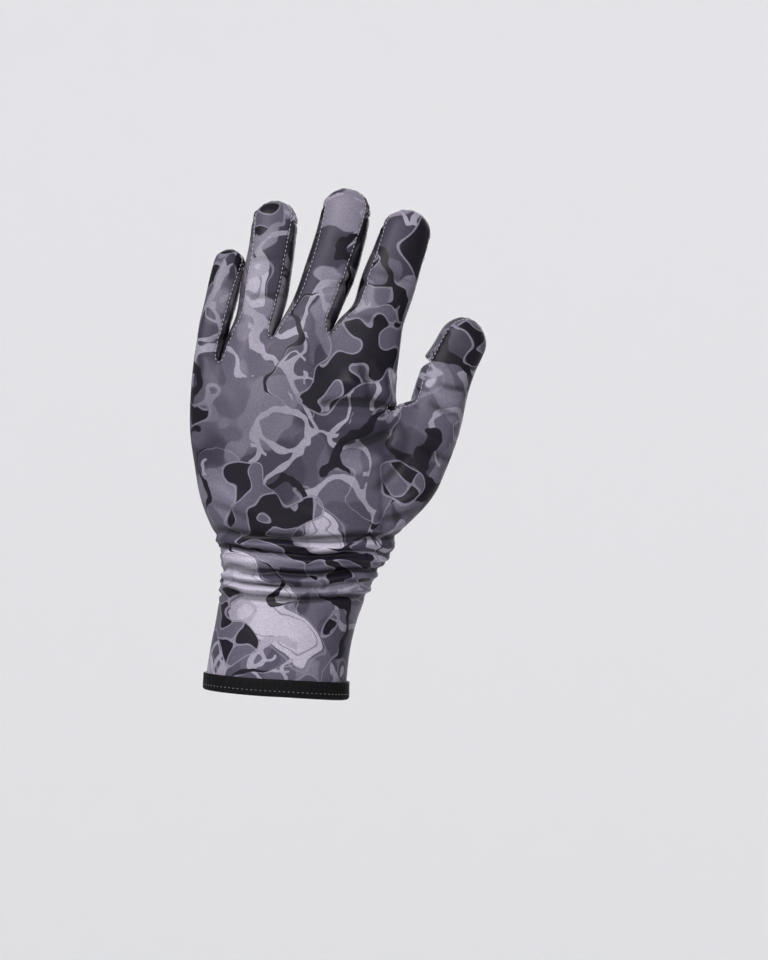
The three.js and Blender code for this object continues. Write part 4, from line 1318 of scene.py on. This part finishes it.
@functools.cache
def ribbed_tape():
    """Black tape with fine ribs across its run, which follow its own UV map."""
    nodes = Nodes("ribbed_tape")
    run = nodes.add("ShaderNodeTexCoord").outputs["UV"]
    inputs = {"Vector": run, "Scale": 330.0, "Distortion": 0.3}
    ribs = nodes.add("ShaderNodeTexWave", inputs, bands_direction="X")
    places = nodes.places()
    grain = nodes.noise(places, 0.7, 3.0, 0.6)
    height = nodes.line(grain, 0.7, nodes.times(ribs.outputs["Fac"], 0.6))
    # The tape's colour follows the height of its ribs and grain. The grooves between the ribs get painted
    # shade, the rib tops are lighter, and the grain adds random tone.
    shade = nodes.shaded(tuple(bpy.context.scene.glove_colours.tape), nodes.line(height, 0.7, 0.65))
    bump = nodes.add("ShaderNodeBump", {"Strength": 0.7, "Distance": 0.0002, "Height": height}).outputs[0]
    return nodes.surface(
        {
            "Base Color": shade,
            "Roughness": nodes.line(grain, 0.2, 0.6),
            "Normal": bump,
            "Specular IOR Level": 0.07,
        }
    )


@functools.cache
def spun_thread(name, tint):
    nodes = Nodes(name)
    grain = nodes.noise(nodes.places(), 0.3, 2.0, 0.6)
    shade = nodes.shaded(tint, nodes.line(grain, 0.4, 0.8))
    return nodes.surface({"Base Color": shade, "Roughness": 0.55, "Sheen Weight": 0.3})


def fitted(piece, slot, *nodes):
    """Puts a finished piece on the frame."""
    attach(piece, BODY)
    if nodes:
        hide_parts(*nodes)


class Shape(Tree):
    """A Geometry Nodes tree, with named inputs for its sizes and its material."""

    def __init__(self, name, sizes):
        super().__init__(bpy.data.node_groups.new(name, "GeometryNodeTree"))
        socket = self.tree.interface.new_socket
        socket("Geometry", in_out="INPUT", socket_type="NodeSocketGeometry")
        for size in sizes:
            socket(size, in_out="INPUT", socket_type="NodeSocketFloat")
        socket("Material", in_out="INPUT", socket_type="NodeSocketMaterial")
        socket("Geometry", in_out="OUTPUT", socket_type="NodeSocketGeometry")
        self.given = self.add("NodeGroupInput").outputs

    def geometry(self, kind, inputs=None, **settings):
        return self.add(kind, inputs, **settings).outputs[0]

    def stored(self, name, kind):
        return self.geometry("GeometryNodeInputNamedAttribute", {"Name": name}, data_type=kind)

    def combined(self, x, y, z):
        return self.add("ShaderNodeCombineXYZ", {"X": x, "Y": y, "Z": z}).outputs[0]

    def copies(self, points, shape, direction, size):
        """Copies of a shape on points, each turned along its direction, as one smooth mesh."""
        turned = self.geometry("FunctionNodeAlignRotationToVector", {"Vector": direction}, axis="Z")
        inputs = {"Points": points, "Instance": shape, "Rotation": turned, "Scale": size}
        placed = self.geometry("GeometryNodeInstanceOnPoints", inputs)
        real = self.geometry("GeometryNodeRealizeInstances", {"Geometry": placed})
        smooth = self.geometry("GeometryNodeSetShadeSmooth", {"Geometry": real})
        inputs = {"Geometry": smooth, "Material": self.given["Material"]}
        self.add("NodeGroupOutput", {"Geometry": self.geometry("GeometryNodeSetMaterial", inputs)})
        return self.tree


@functools.cache
def stitch_tree():
    """Stitches along lines: a round-ended thread at each step, laid along the line's lay attribute."""
    shape = Shape("stitches", ("Pitch", "Stitch", "Thread"))
    given = shape.given
    line = shape.geometry("GeometryNodeMeshToCurve", {"Mesh": given["Geometry"]})
    inputs = {"Curve": line, "Length": given["Pitch"]}
    steps = shape.geometry("GeometryNodeResampleCurve", inputs, mode="LENGTH")
    ball = shape.geometry("GeometryNodeMeshIcoSphere", {"Radius": 0.5, "Subdivisions": 2})
    size = shape.combined(given["Thread"], given["Thread"], given["Stitch"])
    return shape.copies(steps, ball, shape.stored("lay", "FLOAT_VECTOR"), size)


def grown(holder, tree, values):
    """Runs a Geometry Nodes tree on an object with named inputs and keeps the result as its plain mesh."""
    modifier = holder.modifiers.new("grow", "NODES")
    modifier.node_group = tree
    for item in tree.interface.items_tree:
        if item.item_type == "SOCKET" and item.in_out == "INPUT" and item.name in values:
            modifier[item.identifier] = values[item.name]
    holder.update_tag()
    bpy.context.view_layer.update()
    made = bpy.data.meshes.new_from_object(holder.evaluated_get(bpy.context.evaluated_depsgraph_get()))
    holder.modifiers.remove(modifier)
    old = holder.data
    holder.data = made
    made.name = holder.name
    bpy.data.meshes.remove(old)
    if not made.polygons:
        raise RuntimeError(f"{holder.name} came out empty")
    return holder


def sewn(name, lines, pitch, stitch, thread, material):
    """Stitches along lines, each a pair of points and lay directions, as one piece."""
    points, edges, lays = [], [], []
    for places, directions in lines:
        first = len(points)
        points += list(places)
        lays += list(directions)
        edges += [(first + i, first + i + 1) for i in range(len(places) - 1)]
    mesh = bpy.data.meshes.new(name)
    mesh.from_pydata([tuple(point * MM) for point in points], edges, [])
    lay = mesh.attributes.new("lay", "FLOAT_VECTOR", "POINT")
    lay.data.foreach_set("vector", np.array(lays, np.float32).ravel())
    holder = bpy.data.objects.new(name, mesh)
    bpy.context.scene.collection.objects.link(holder)
    values = {"Pitch": pitch, "Stitch": stitch, "Thread": thread, "Material": material}
    return grown(holder, stitch_tree(), values)


DIRECTION_EASING = 6
LINE_EASING = 4


def smoothed(points, rounds, closed):
    """A line of points with its corners eased."""
    points = np.array(points)
    for _ in range(rounds):
        before, after = np.roll(points, 1, axis=0), np.roll(points, -1, axis=0)
        eased = 0.5 * points + 0.25 * (before + after)
        if not closed:
            eased[[0, -1]] = points[[0, -1]]
        points = eased
    return points


def seam_line(skin, chain, panel, inset, lift):
    """Line beside a seam, inside one panel and just over its surface, with its tangents."""
    closed = chain[0] == chain[-1]
    indices = np.array(chain[:-1] if closed else chain)
    inwards = unit(smoothed(unit(skin.towards(panel, indices)), DIRECTION_EASING, closed))
    places = smoothed(skin.points[indices] + inwards * inset, LINE_EASING, closed)
    tree = surface_tree()
    for i, place in enumerate(places):
        found, normal, _, _ = tree.find_nearest(Vector(place))
        places[i] = np.array(found + normal * lift)
    if closed:
        places = np.vstack([places, places[:1]])
    return places, unit(np.gradient(places, axis=0)), inwards


@functools.cache
def surface_tree():
    skin = glove_skin()
    return BVHTree.FromPolygons([Vector(point) for point in skin.points], skin.faces.tolist())


PRINT_START = (-330.0, 80.0, -45.0)
PRINT_STEPS = (61.0, 23.0, 37.0)
# Share of the print's brightness on the side strips between the fingers: painted shade, where the fingers
# shade each other.
STRIP_PAINTED_SHADE = 0.34


class GLOVE_OT_panels(bpy.types.Operator):
    """Makes the printed panels: back, palm, side strips and both parts of the thumb's front"""

    bl_idname = "glove.panels"
    bl_label = "Make the cloth panels"

    def execute(self, context):
        skin = glove_skin()
        thickness = context.scene.glove_sizes.cloth / MM
        for number, panel in enumerate(PANELS):
            points, faces, marks, origin = panel_wall(skin, panel, thickness)
            # Side strips get a darker copy of the print as painted shade.
            shade = STRIP_PAINTED_SHADE if panel.startswith("side_strip") else 1
            offset = tuple(number * step + start for step, start in zip(PRINT_STEPS, PRINT_START))
            outside = printed_cloth("print_" + panel, offset, shade)
            made = new_object(panel + "_cloth", points, faces, (outside, inside_cloth()), marks)
            cloth = made.data.attributes.new(CLOTH_PLACE, "FLOAT_VECTOR", "POINT")
            cloth.data.foreach_set("vector", skin.cloth[origin].astype(np.float32).ravel())
            crest = made.data.attributes.new(CREST, "FLOAT", "POINT")
            crest.data.foreach_set("value", skin.crests[origin].astype(np.float32))
            fitted(made, "printed_cloth", panel)
        return {"FINISHED"}


SHORTEST_SEAM = 6
SEAM_INSET = 0.9
SEAM_LIFT = 0.06


class GLOVE_OT_seams(bpy.types.Operator):
    """Sews the panels together with stitches beside each seam"""

    bl_idname = "glove.seams"
    bl_label = "Sew the seams"

    def execute(self, context):
        sizes, colours = context.scene.glove_sizes, context.scene.glove_colours
        skin = glove_skin()
        lines = []
        for first, second in SEAM_PAIRS:
            for chain in chains(skin.seam_edges(first, second)):
                if len(chain) > SHORTEST_SEAM:
                    places, tangents, _ = seam_line(skin, chain, first, SEAM_INSET, SEAM_LIFT)
                    lines.append((places, tangents))
        thread = spun_thread("light_thread", tuple(colours.thread))
        made = sewn("seam_stitches", lines, sizes.stitch_pitch, sizes.stitch, sizes.thread, thread)
        fitted(made, "printed_cloth")
        return {"FINISHED"}


OVERLOCK_REACH = 1.7
OVERLOCK_SLANT = 0.35
TACK_SPREAD = 1.6
TACK_PITCH_SHARE = 0.6


class GLOVE_OT_slit_edges(bpy.types.Operator):
    """Oversews both edges of the thumb's slit and tacks its ends"""

    bl_idname = "glove.slit_edges"
    bl_label = "Oversew the slit"

    def execute(self, context):
        sizes, colours = context.scene.glove_sizes, context.scene.glove_colours
        skin = glove_skin()
        lines, tacks = [], []
        for panel in ("thumb_front", "thumb_tip_cap"):
            for chain in chains(skin.seam_edges(panel)):
                places, tangents, inwards = seam_line(skin, chain, panel, OVERLOCK_REACH / 2, 0.1)
                lines.append((places, unit(inwards + OVERLOCK_SLANT * tangents)))
                for end, before in ((0, 4), (-1, -5)):
                    tack = np.array([places[before], places[end]])
                    tacks.append((tack, np.repeat(inwards[end][None], 2, axis=0)))
        dark = spun_thread("dark_thread", tuple(colours.dark_thread))
        light = spun_thread("light_thread", tuple(colours.thread))
        pitch, reach = sizes.overlock_pitch, OVERLOCK_REACH * MM
        fitted(sewn("slit_overlock", lines, pitch, reach, sizes.thread, dark), "printed_cloth")
        pitch, reach = TACK_PITCH_SHARE * pitch, TACK_SPREAD * MM
        fitted(sewn("slit_tacks", tacks, pitch, reach, sizes.thread, light), "printed_cloth")
        return {"FINISHED"}


PATCH_POINTS = 120
PATCH_RINGS = ((1.0, 0.0), (1.0, 0.55), (0.988, 0.86), (0.965, 1.0))
PATCH_INNER_RINGS = 14
PATCH_INNER_SHARES = (0.93, 0.04)
PATCH_THICKNESS = 0.9


def patch_outline(patch):
    """Outline of a grip patch round its middle: a rounded block that narrows towards its top."""
    low, high, half = patch["width"] / 2, patch["narrow"] * patch["width"] / 2, patch["height"] / 2
    corner, height = patch["corner"], patch["height"]
    near_low, near_high = mix(low, high, corner / height), mix(high, low, corner / height)
    corners = (
        ((low - corner, -half), (low, -half), (near_low, corner - half)),
        ((near_high, half - corner), (high, half), (high - corner, half)),
        ((corner - high, half), (-high, half), (-near_high, half - corner)),
        ((-near_low, corner - half), (-low, -half), (corner - low, -half)),
    )
    places = []
    for start, bend, end in corners:
        start, bend, end = np.array(start), np.array(bend), np.array(end)
        for t in np.linspace(0, 1, 8):
            places.append((1 - t) ** 2 * start + 2 * t * (1 - t) * bend + t * t * end)
    places.append(places[0])
    places = np.array(places)
    run = np.concatenate([[0], np.cumsum(np.linalg.norm(np.diff(places, axis=0), axis=1))])
    steps = np.linspace(0, run[-1], PATCH_POINTS, endpoint=False)
    return np.column_stack([np.interp(steps, run, places[:, 0]), np.interp(steps, run, places[:, 1])])


def on_palm(patch, places):
    """Places in a patch's own plane, laid on the palm: points and normals."""
    turn = math.radians(patch["turn"])
    x = places[:, 0] * math.cos(turn) + places[:, 1] * math.sin(turn) + patch["aside"] * PALM["width"]
    z = -places[:, 0] * math.sin(turn) + places[:, 1] * math.cos(turn) + patch["up"] * KNUCKLE_RISE
    tree = surface_tree()
    points, normals = [], []
    for across, up in zip(x, z):
        found, normal, _, _ = tree.ray_cast(Vector((across, PALM["depth"], up)), Vector((0, -1, 0)))
        points.append(np.array(found))
        normals.append(np.array(normal))
    return np.array(points), unit(np.array(normals))


def patch_mesh(patch):
    """Points and faces of a grip patch: a thin cloth with rounded edges that lies on the palm."""
    outline = patch_outline(patch)
    inner = np.linspace(*PATCH_INNER_SHARES, PATCH_INNER_RINGS)
    over = [*PATCH_RINGS, *((share, 1.0) for share in inner)]
    under = [(share, 0.0) for share in inner[::-1]]
    points, faces = [], []
    for share, height in over + under:
        places, normals = on_palm(patch, outline * share)
        points.append(places + normals * (SEAM_GAP * 0.5 + height * PATCH_THICKNESS))
    for ring in range(len(points)):
        here, there = ring * PATCH_POINTS, (ring + 1) % len(points) * PATCH_POINTS
        if ring == len(over) - 1:
            faces.append([here + i for i in range(PATCH_POINTS)])
            faces.append([there + i for i in reversed(range(PATCH_POINTS))])
            continue
        for i in range(PATCH_POINTS):
            beside = (i + 1) % PATCH_POINTS
            faces.append([here + i, here + beside, there + beside, there + i])
    return np.vstack(points), faces


@functools.cache
def dot_tree():
    """Domes in rows on a surface that is seen along -Y, each standing on the surface."""
    shape = Shape("dots", ("Across", "Up", "Width", "Height", "Turn", "Pitch", "Dot", "Rise"))
    given = shape.given
    depth = PALM["depth"] * MM

    def steps_in(size):
        return shape.math("FLOOR", shape.math("DIVIDE", given[size], given["Pitch"]))

    across, up = steps_in("Width"), steps_in("Height")
    inputs = {
        "Size X": shape.times(across, given["Pitch"]),
        "Size Y": shape.times(up, given["Pitch"]),
        "Vertices X": shape.math("ADD", across, 1),
        "Vertices Y": shape.math("ADD", up, 1),
    }
    grid = shape.geometry("GeometryNodeMeshGrid", inputs)
    inputs = {
        "Geometry": grid,
        "Translation": shape.combined(given["Across"], depth, given["Up"]),
        "Rotation": shape.combined(math.pi / 2, given["Turn"], 0),
    }
    placed = shape.geometry("GeometryNodeTransform", inputs)
    inputs = {
        "Target Geometry": given["Geometry"],
        "Attribute": shape.stored("inside", "FLOAT"),
        "Ray Direction": (0, -1, 0),
        "Ray Length": 2 * depth,
    }
    ray = shape.add("GeometryNodeRaycast", inputs, data_type="FLOAT").outputs
    inputs = {"A": ray["Attribute"], "B": 0.5}
    inside = shape.add("FunctionNodeCompare", inputs, data_type="FLOAT", operation="GREATER_THAN")
    missed = shape.add("FunctionNodeBooleanMath", {0: ray["Is Hit"], 1: inside.outputs[0]}, operation="NAND")
    inputs = {"Geometry": placed, "Name": "stand", "Value": ray["Hit Normal"]}
    noted = shape.geometry("GeometryNodeStoreNamedAttribute", inputs, data_type="FLOAT_VECTOR")
    inputs = {"Geometry": noted, "Selection": missed.outputs[0]}
    kept = shape.geometry("GeometryNodeDeleteGeometry", inputs)
    inputs = {"Geometry": kept, "Position": ray["Hit Position"]}
    moved = shape.geometry("GeometryNodeSetPosition", inputs)
    dome = shape.geometry("GeometryNodeMeshUVSphere", {"Segments": 16, "Rings": 10, "Radius": 0.5})
    size = shape.combined(given["Dot"], given["Dot"], shape.times(given["Rise"], 2))
    return shape.copies(moved, dome, shape.stored("stand", "FLOAT_VECTOR"), size)


class GLOVE_OT_grip_patches(bpy.types.Operator):
    """Makes the grip patches on the palm and their silicone dots"""

    bl_idname = "glove.grip_patches"
    bl_label = "Make the grip patches"

    def execute(self, context):
        sizes, colours = context.scene.glove_sizes, context.scene.glove_colours
        cloth = plain_cloth("grip_cloth", tuple(colours.grip), 0.7, 0.03)
        for patch in named_rows(PATCH_COLUMNS, PATCHES):
            name = "grip_patch_" + patch["name"]
            points, faces = patch_mesh(patch)
            fitted(new_object(name + "_cloth", points, faces, (cloth,)), "grip_fabric", name)
            holder = new_object(name + "_dots", points, faces, ())
            inside = holder.data.attributes.new("inside", "FLOAT", "POINT")
            rims = len(PATCH_RINGS) * PATCH_POINTS
            inside.data.foreach_set("value", [0.0] * rims + [1.0] * (len(points) - rims))
            values = {
                "Across": patch["aside"] * PALM["width"] * MM,
                "Up": patch["up"] * KNUCKLE_RISE * MM,
                "Width": patch["width"] * MM,
                "Height": patch["height"] * MM,
                "Turn": math.radians(patch["turn"]),
                "Pitch": sizes.dot_pitch,
                "Dot": sizes.dot,
                "Rise": sizes.dot_height,
                "Material": silicone(),
            }
            fitted(grown(holder, dot_tree(), values), "grip_fabric")
        return {"FINISHED"}


TAPE_STEPS = 360
TAPE_ROUND = 8
TAPE_PUCKER = 0.07
TAPE_PUCKERS = 74
TAPE_STITCH_HEIGHT = 1.5
TAPE_STITCH_SHARE = 0.7


def tape_section(cloth):
    """Section of the folded tape, as distances out of the skin and heights above the rim."""
    half = BINDING_THICKNESS / 2
    outside, inside = SEAM_GAP + half, -cloth - SEAM_GAP - half
    middle, radius = (outside + inside) / 2, (outside - inside) / 2
    line = [(outside, height) for height in np.linspace(BINDING_HEIGHT, 0.6, 6)]
    for turn in np.linspace(0, math.pi, TAPE_ROUND):
        line.append((middle + radius * math.cos(turn), -radius * 0.55 * math.sin(turn) + 0.2))
    line += [(inside, height) for height in np.linspace(0.6, BINDING_HEIGHT, 6)]
    line = np.array(line)
    runs = unit(np.gradient(line, axis=0))
    across = np.column_stack([-runs[:, 1], runs[:, 0]])
    outer, inner = line + across * half, (line - across * half)[::-1]
    return np.vstack([outer, inner])


def tape_place(angle, off, height):
    step = 0.01
    z = max(height, 0)
    here = body_point(angle, z)
    run = body_point(angle + step, z) - body_point(angle - step, z)
    outwards = unit(np.array([-run[1], run[0], 0.0]))
    if outwards @ (here * (1, 1, 0) - (outline_at("aside", z), 0, 0)) < 0:
        outwards = -outwards
    pucker = TAPE_PUCKER * math.sin(TAPE_PUCKERS * angle + 1.3 * math.sin(5 * angle))
    return here + outwards * (off + pucker) + (0, 0, height - z)


class GLOVE_OT_binding(bpy.types.Operator):
    """Folds the black tape over the rim of the cuff and sews it down"""

    bl_idname = "glove.binding"
    bl_label = "Bind the cuff"

    def execute(self, context):
        sizes, colours = context.scene.glove_sizes, context.scene.glove_colours
        section = tape_section(sizes.cloth / MM)
        angles = np.linspace(0, 2 * math.pi, TAPE_STEPS, endpoint=False)
        points = [tape_place(angle, off, height) for angle in angles for off, height in section]
        size = len(section)
        faces = []
        for step in range(TAPE_STEPS):
            faces += ring_faces(step * size, (step + 1) % TAPE_STEPS * size, size)
        made = new_object("cuff_binding_tape", points, faces, (ribbed_tape(),))
        run = np.pi * (CUFF["width"] + CUFF["depth"]) / 2 * MM
        layer = made.data.uv_layers.new(name="run")
        rows = np.concatenate([[0], np.cumsum(np.linalg.norm(np.diff(section, axis=0), axis=1))]) * MM
        uvs = []
        for step in range(TAPE_STEPS):
            left, right = run * step / TAPE_STEPS, run * (step + 1) / TAPE_STEPS
            for k in range(size):
                low, high = rows[k], rows[(k + 1) % size]
                uvs += [left, low, right, low, right, high, left, high]
        layer.data.foreach_set("uv", uvs)
        fitted(made, "binding_tape", "cuff_binding")

        out = SEAM_GAP + BINDING_THICKNESS + 0.02
        around = np.append(angles, angles[0] + 2 * math.pi)
        places = np.array([tape_place(angle, out, TAPE_STITCH_HEIGHT) for angle in around])
        tangents = unit(np.gradient(places, axis=0))
        thread = spun_thread("tape_thread", tuple(colours.tape_thread))
        stitch = TAPE_STITCH_SHARE * sizes.stitch
        line = [(places, tangents)]
        made = sewn("binding_stitches", line, sizes.stitch_pitch, stitch, sizes.thread, thread)
        fitted(made, "binding_tape")
        return {"FINISHED"}


FLOOR_DROP = 1.2
BOWL_RADIUS = 7.0
BOWL_RISE = 5.0
BOWL_STEPS = 96
FLOOR_GLOW = 0.05
ROOM_LIGHT = 0.6
LIGHT_COLUMNS = ("name", "place", "width", "power")
LIGHTS = (
    ("key_light", (-0.8, -1.6, 1.45), 0.7, 104),
    ("fill_light", (0.9, -2.0, 0.1), 1.0, 10),
    ("back_light", (0.3, 2.0, 0.7), 1.8, 62),
)
GLOVE_MIDDLE = Vector((0.035, 0, 0.105))


def bowl_profile():
    """Flat floor that turns up into a high wall far from the glove: radii and heights."""
    flat = [(radius, 0) for radius in np.linspace(0, BOWL_RADIUS - 2, 8)[1:]]
    turns = np.linspace(0, math.pi / 2, 14)[1:]
    curve = [(BOWL_RADIUS - 2 + 2 * math.sin(turn), 2 - 2 * math.cos(turn)) for turn in turns]
    return flat + curve + [(BOWL_RADIUS, BOWL_RISE)]


class GLOVE_OT_stage(bpy.types.Operator):
    """Sets up the pale floor, the soft lights and the camera"""

    bl_idname = "glove.stage"
    bl_label = "Set the stage"

    def execute(self, context):
        scene = context.scene
        points, faces = [Vector((0, 0, 0))], []
        for radius, height in bowl_profile():
            for step in range(BOWL_STEPS):
                turn = 2 * math.pi * step / BOWL_STEPS
                points.append(Vector((radius * math.cos(turn), radius * math.sin(turn), height)))
        for step in range(BOWL_STEPS):
            faces.append([0, 1 + step, 1 + (step + 1) % BOWL_STEPS])
        for ring in range(len(bowl_profile()) - 1):
            here = 1 + ring * BOWL_STEPS
            faces += ring_faces(here, here + BOWL_STEPS, BOWL_STEPS)
        places = np.array([tuple(point) for point in points]) / MM
        places[:, 2] -= FLOOR_DROP / MM
        nodes = Nodes("pale_floor")
        pale = tuple(scene.glove_colours.floor)
        inputs = {"Base Color": pale, "Roughness": 0.9}
        inputs |= {"Emission Color": pale, "Emission Strength": FLOOR_GLOW}
        stage = nodes.surface(inputs)
        floor = new_object("floor", places, faces, (stage,))

        world = bpy.data.worlds.new("soft_light")
        world.use_nodes = True
        background = world.node_tree.nodes["Background"].inputs
        background["Color"].default_value = (1, 1, 1, 1)
        background["Strength"].default_value = ROOM_LIGHT
        scene.world = world
        for light in named_rows(LIGHT_COLUMNS, LIGHTS):
            lamp = bpy.data.lights.new(light["name"], "AREA")
            lamp.shape = "DISK"
            lamp.size = light["width"]
            lamp.energy = light["power"]
            holder = bpy.data.objects.new(light["name"], lamp)
            holder.location = light["place"]
            aim = GLOVE_MIDDLE - holder.location
            holder.rotation_euler = aim.to_track_quat("-Z", "Y").to_euler()
            scene.collection.objects.link(holder)

        across = (PICTURE_WIDTH / 2 - ORIGIN_PIXEL[0]) * MM_PER_PIXEL * MM
        up = (ORIGIN_PIXEL[1] - PICTURE_HEIGHT / 2) * MM_PER_PIXEL * MM
        lens = bpy.data.cameras.new("camera")
        lens.lens = CAMERA_LENS
        lens.sensor_width = SENSOR
        distance = PICTURE_HEIGHT * MM_PER_PIXEL * MM * CAMERA_LENS / SENSOR
        camera = bpy.data.objects.new("camera", lens)
        camera.location = (across, -distance, up)
        camera.rotation_euler = (math.pi / 2, 0, 0)
        scene.collection.objects.link(camera)
        scene.camera = camera
        scene.view_settings.view_transform = "Standard"
        return {"FINISHED"}


STEPS = (
    GLOVE_OT_stage,
    GLOVE_OT_panels,
    GLOVE_OT_seams,
    GLOVE_OT_slit_edges,
    GLOVE_OT_grip_patches,
    GLOVE_OT_binding,
)


class GLOVE_PT_steps(bpy.types.Panel):
    """Lists the steps that build the glove, with its sizes and colours"""

    bl_idname = "GLOVE_PT_steps"
    bl_label = "Fishing glove"
    bl_space_type = "VIEW_3D"
    bl_region_type = "UI"
    bl_category = "Glove"

    def draw(self, context):
        for step in STEPS:
            self.layout.operator(step.bl_idname)
        for group in (context.scene.glove_sizes, context.scene.glove_colours):
            box = self.layout.box()
            for name in group.__annotations__:
                box.prop(group, name)


CLASSES = (GloveSizes, GloveColours, *STEPS, GLOVE_PT_steps)


def register():
    for cls in CLASSES:
        bpy.utils.register_class(cls)
    bpy.types.Scene.glove_sizes = PointerProperty(type=GloveSizes)
    bpy.types.Scene.glove_colours = PointerProperty(type=GloveColours)


def unregister():
    del bpy.types.Scene.glove_colours
    del bpy.types.Scene.glove_sizes
    for cls in reversed(CLASSES):
        bpy.utils.unregister_class(cls)


def main():
    register()
    bpy.ops.glove.stage()
    bpy.ops.glove.panels()
    bpy.ops.glove.seams()
    bpy.ops.glove.slit_edges()
    bpy.ops.glove.grip_patches()
    bpy.ops.glove.binding()


if __name__ == "__main__":
    main()
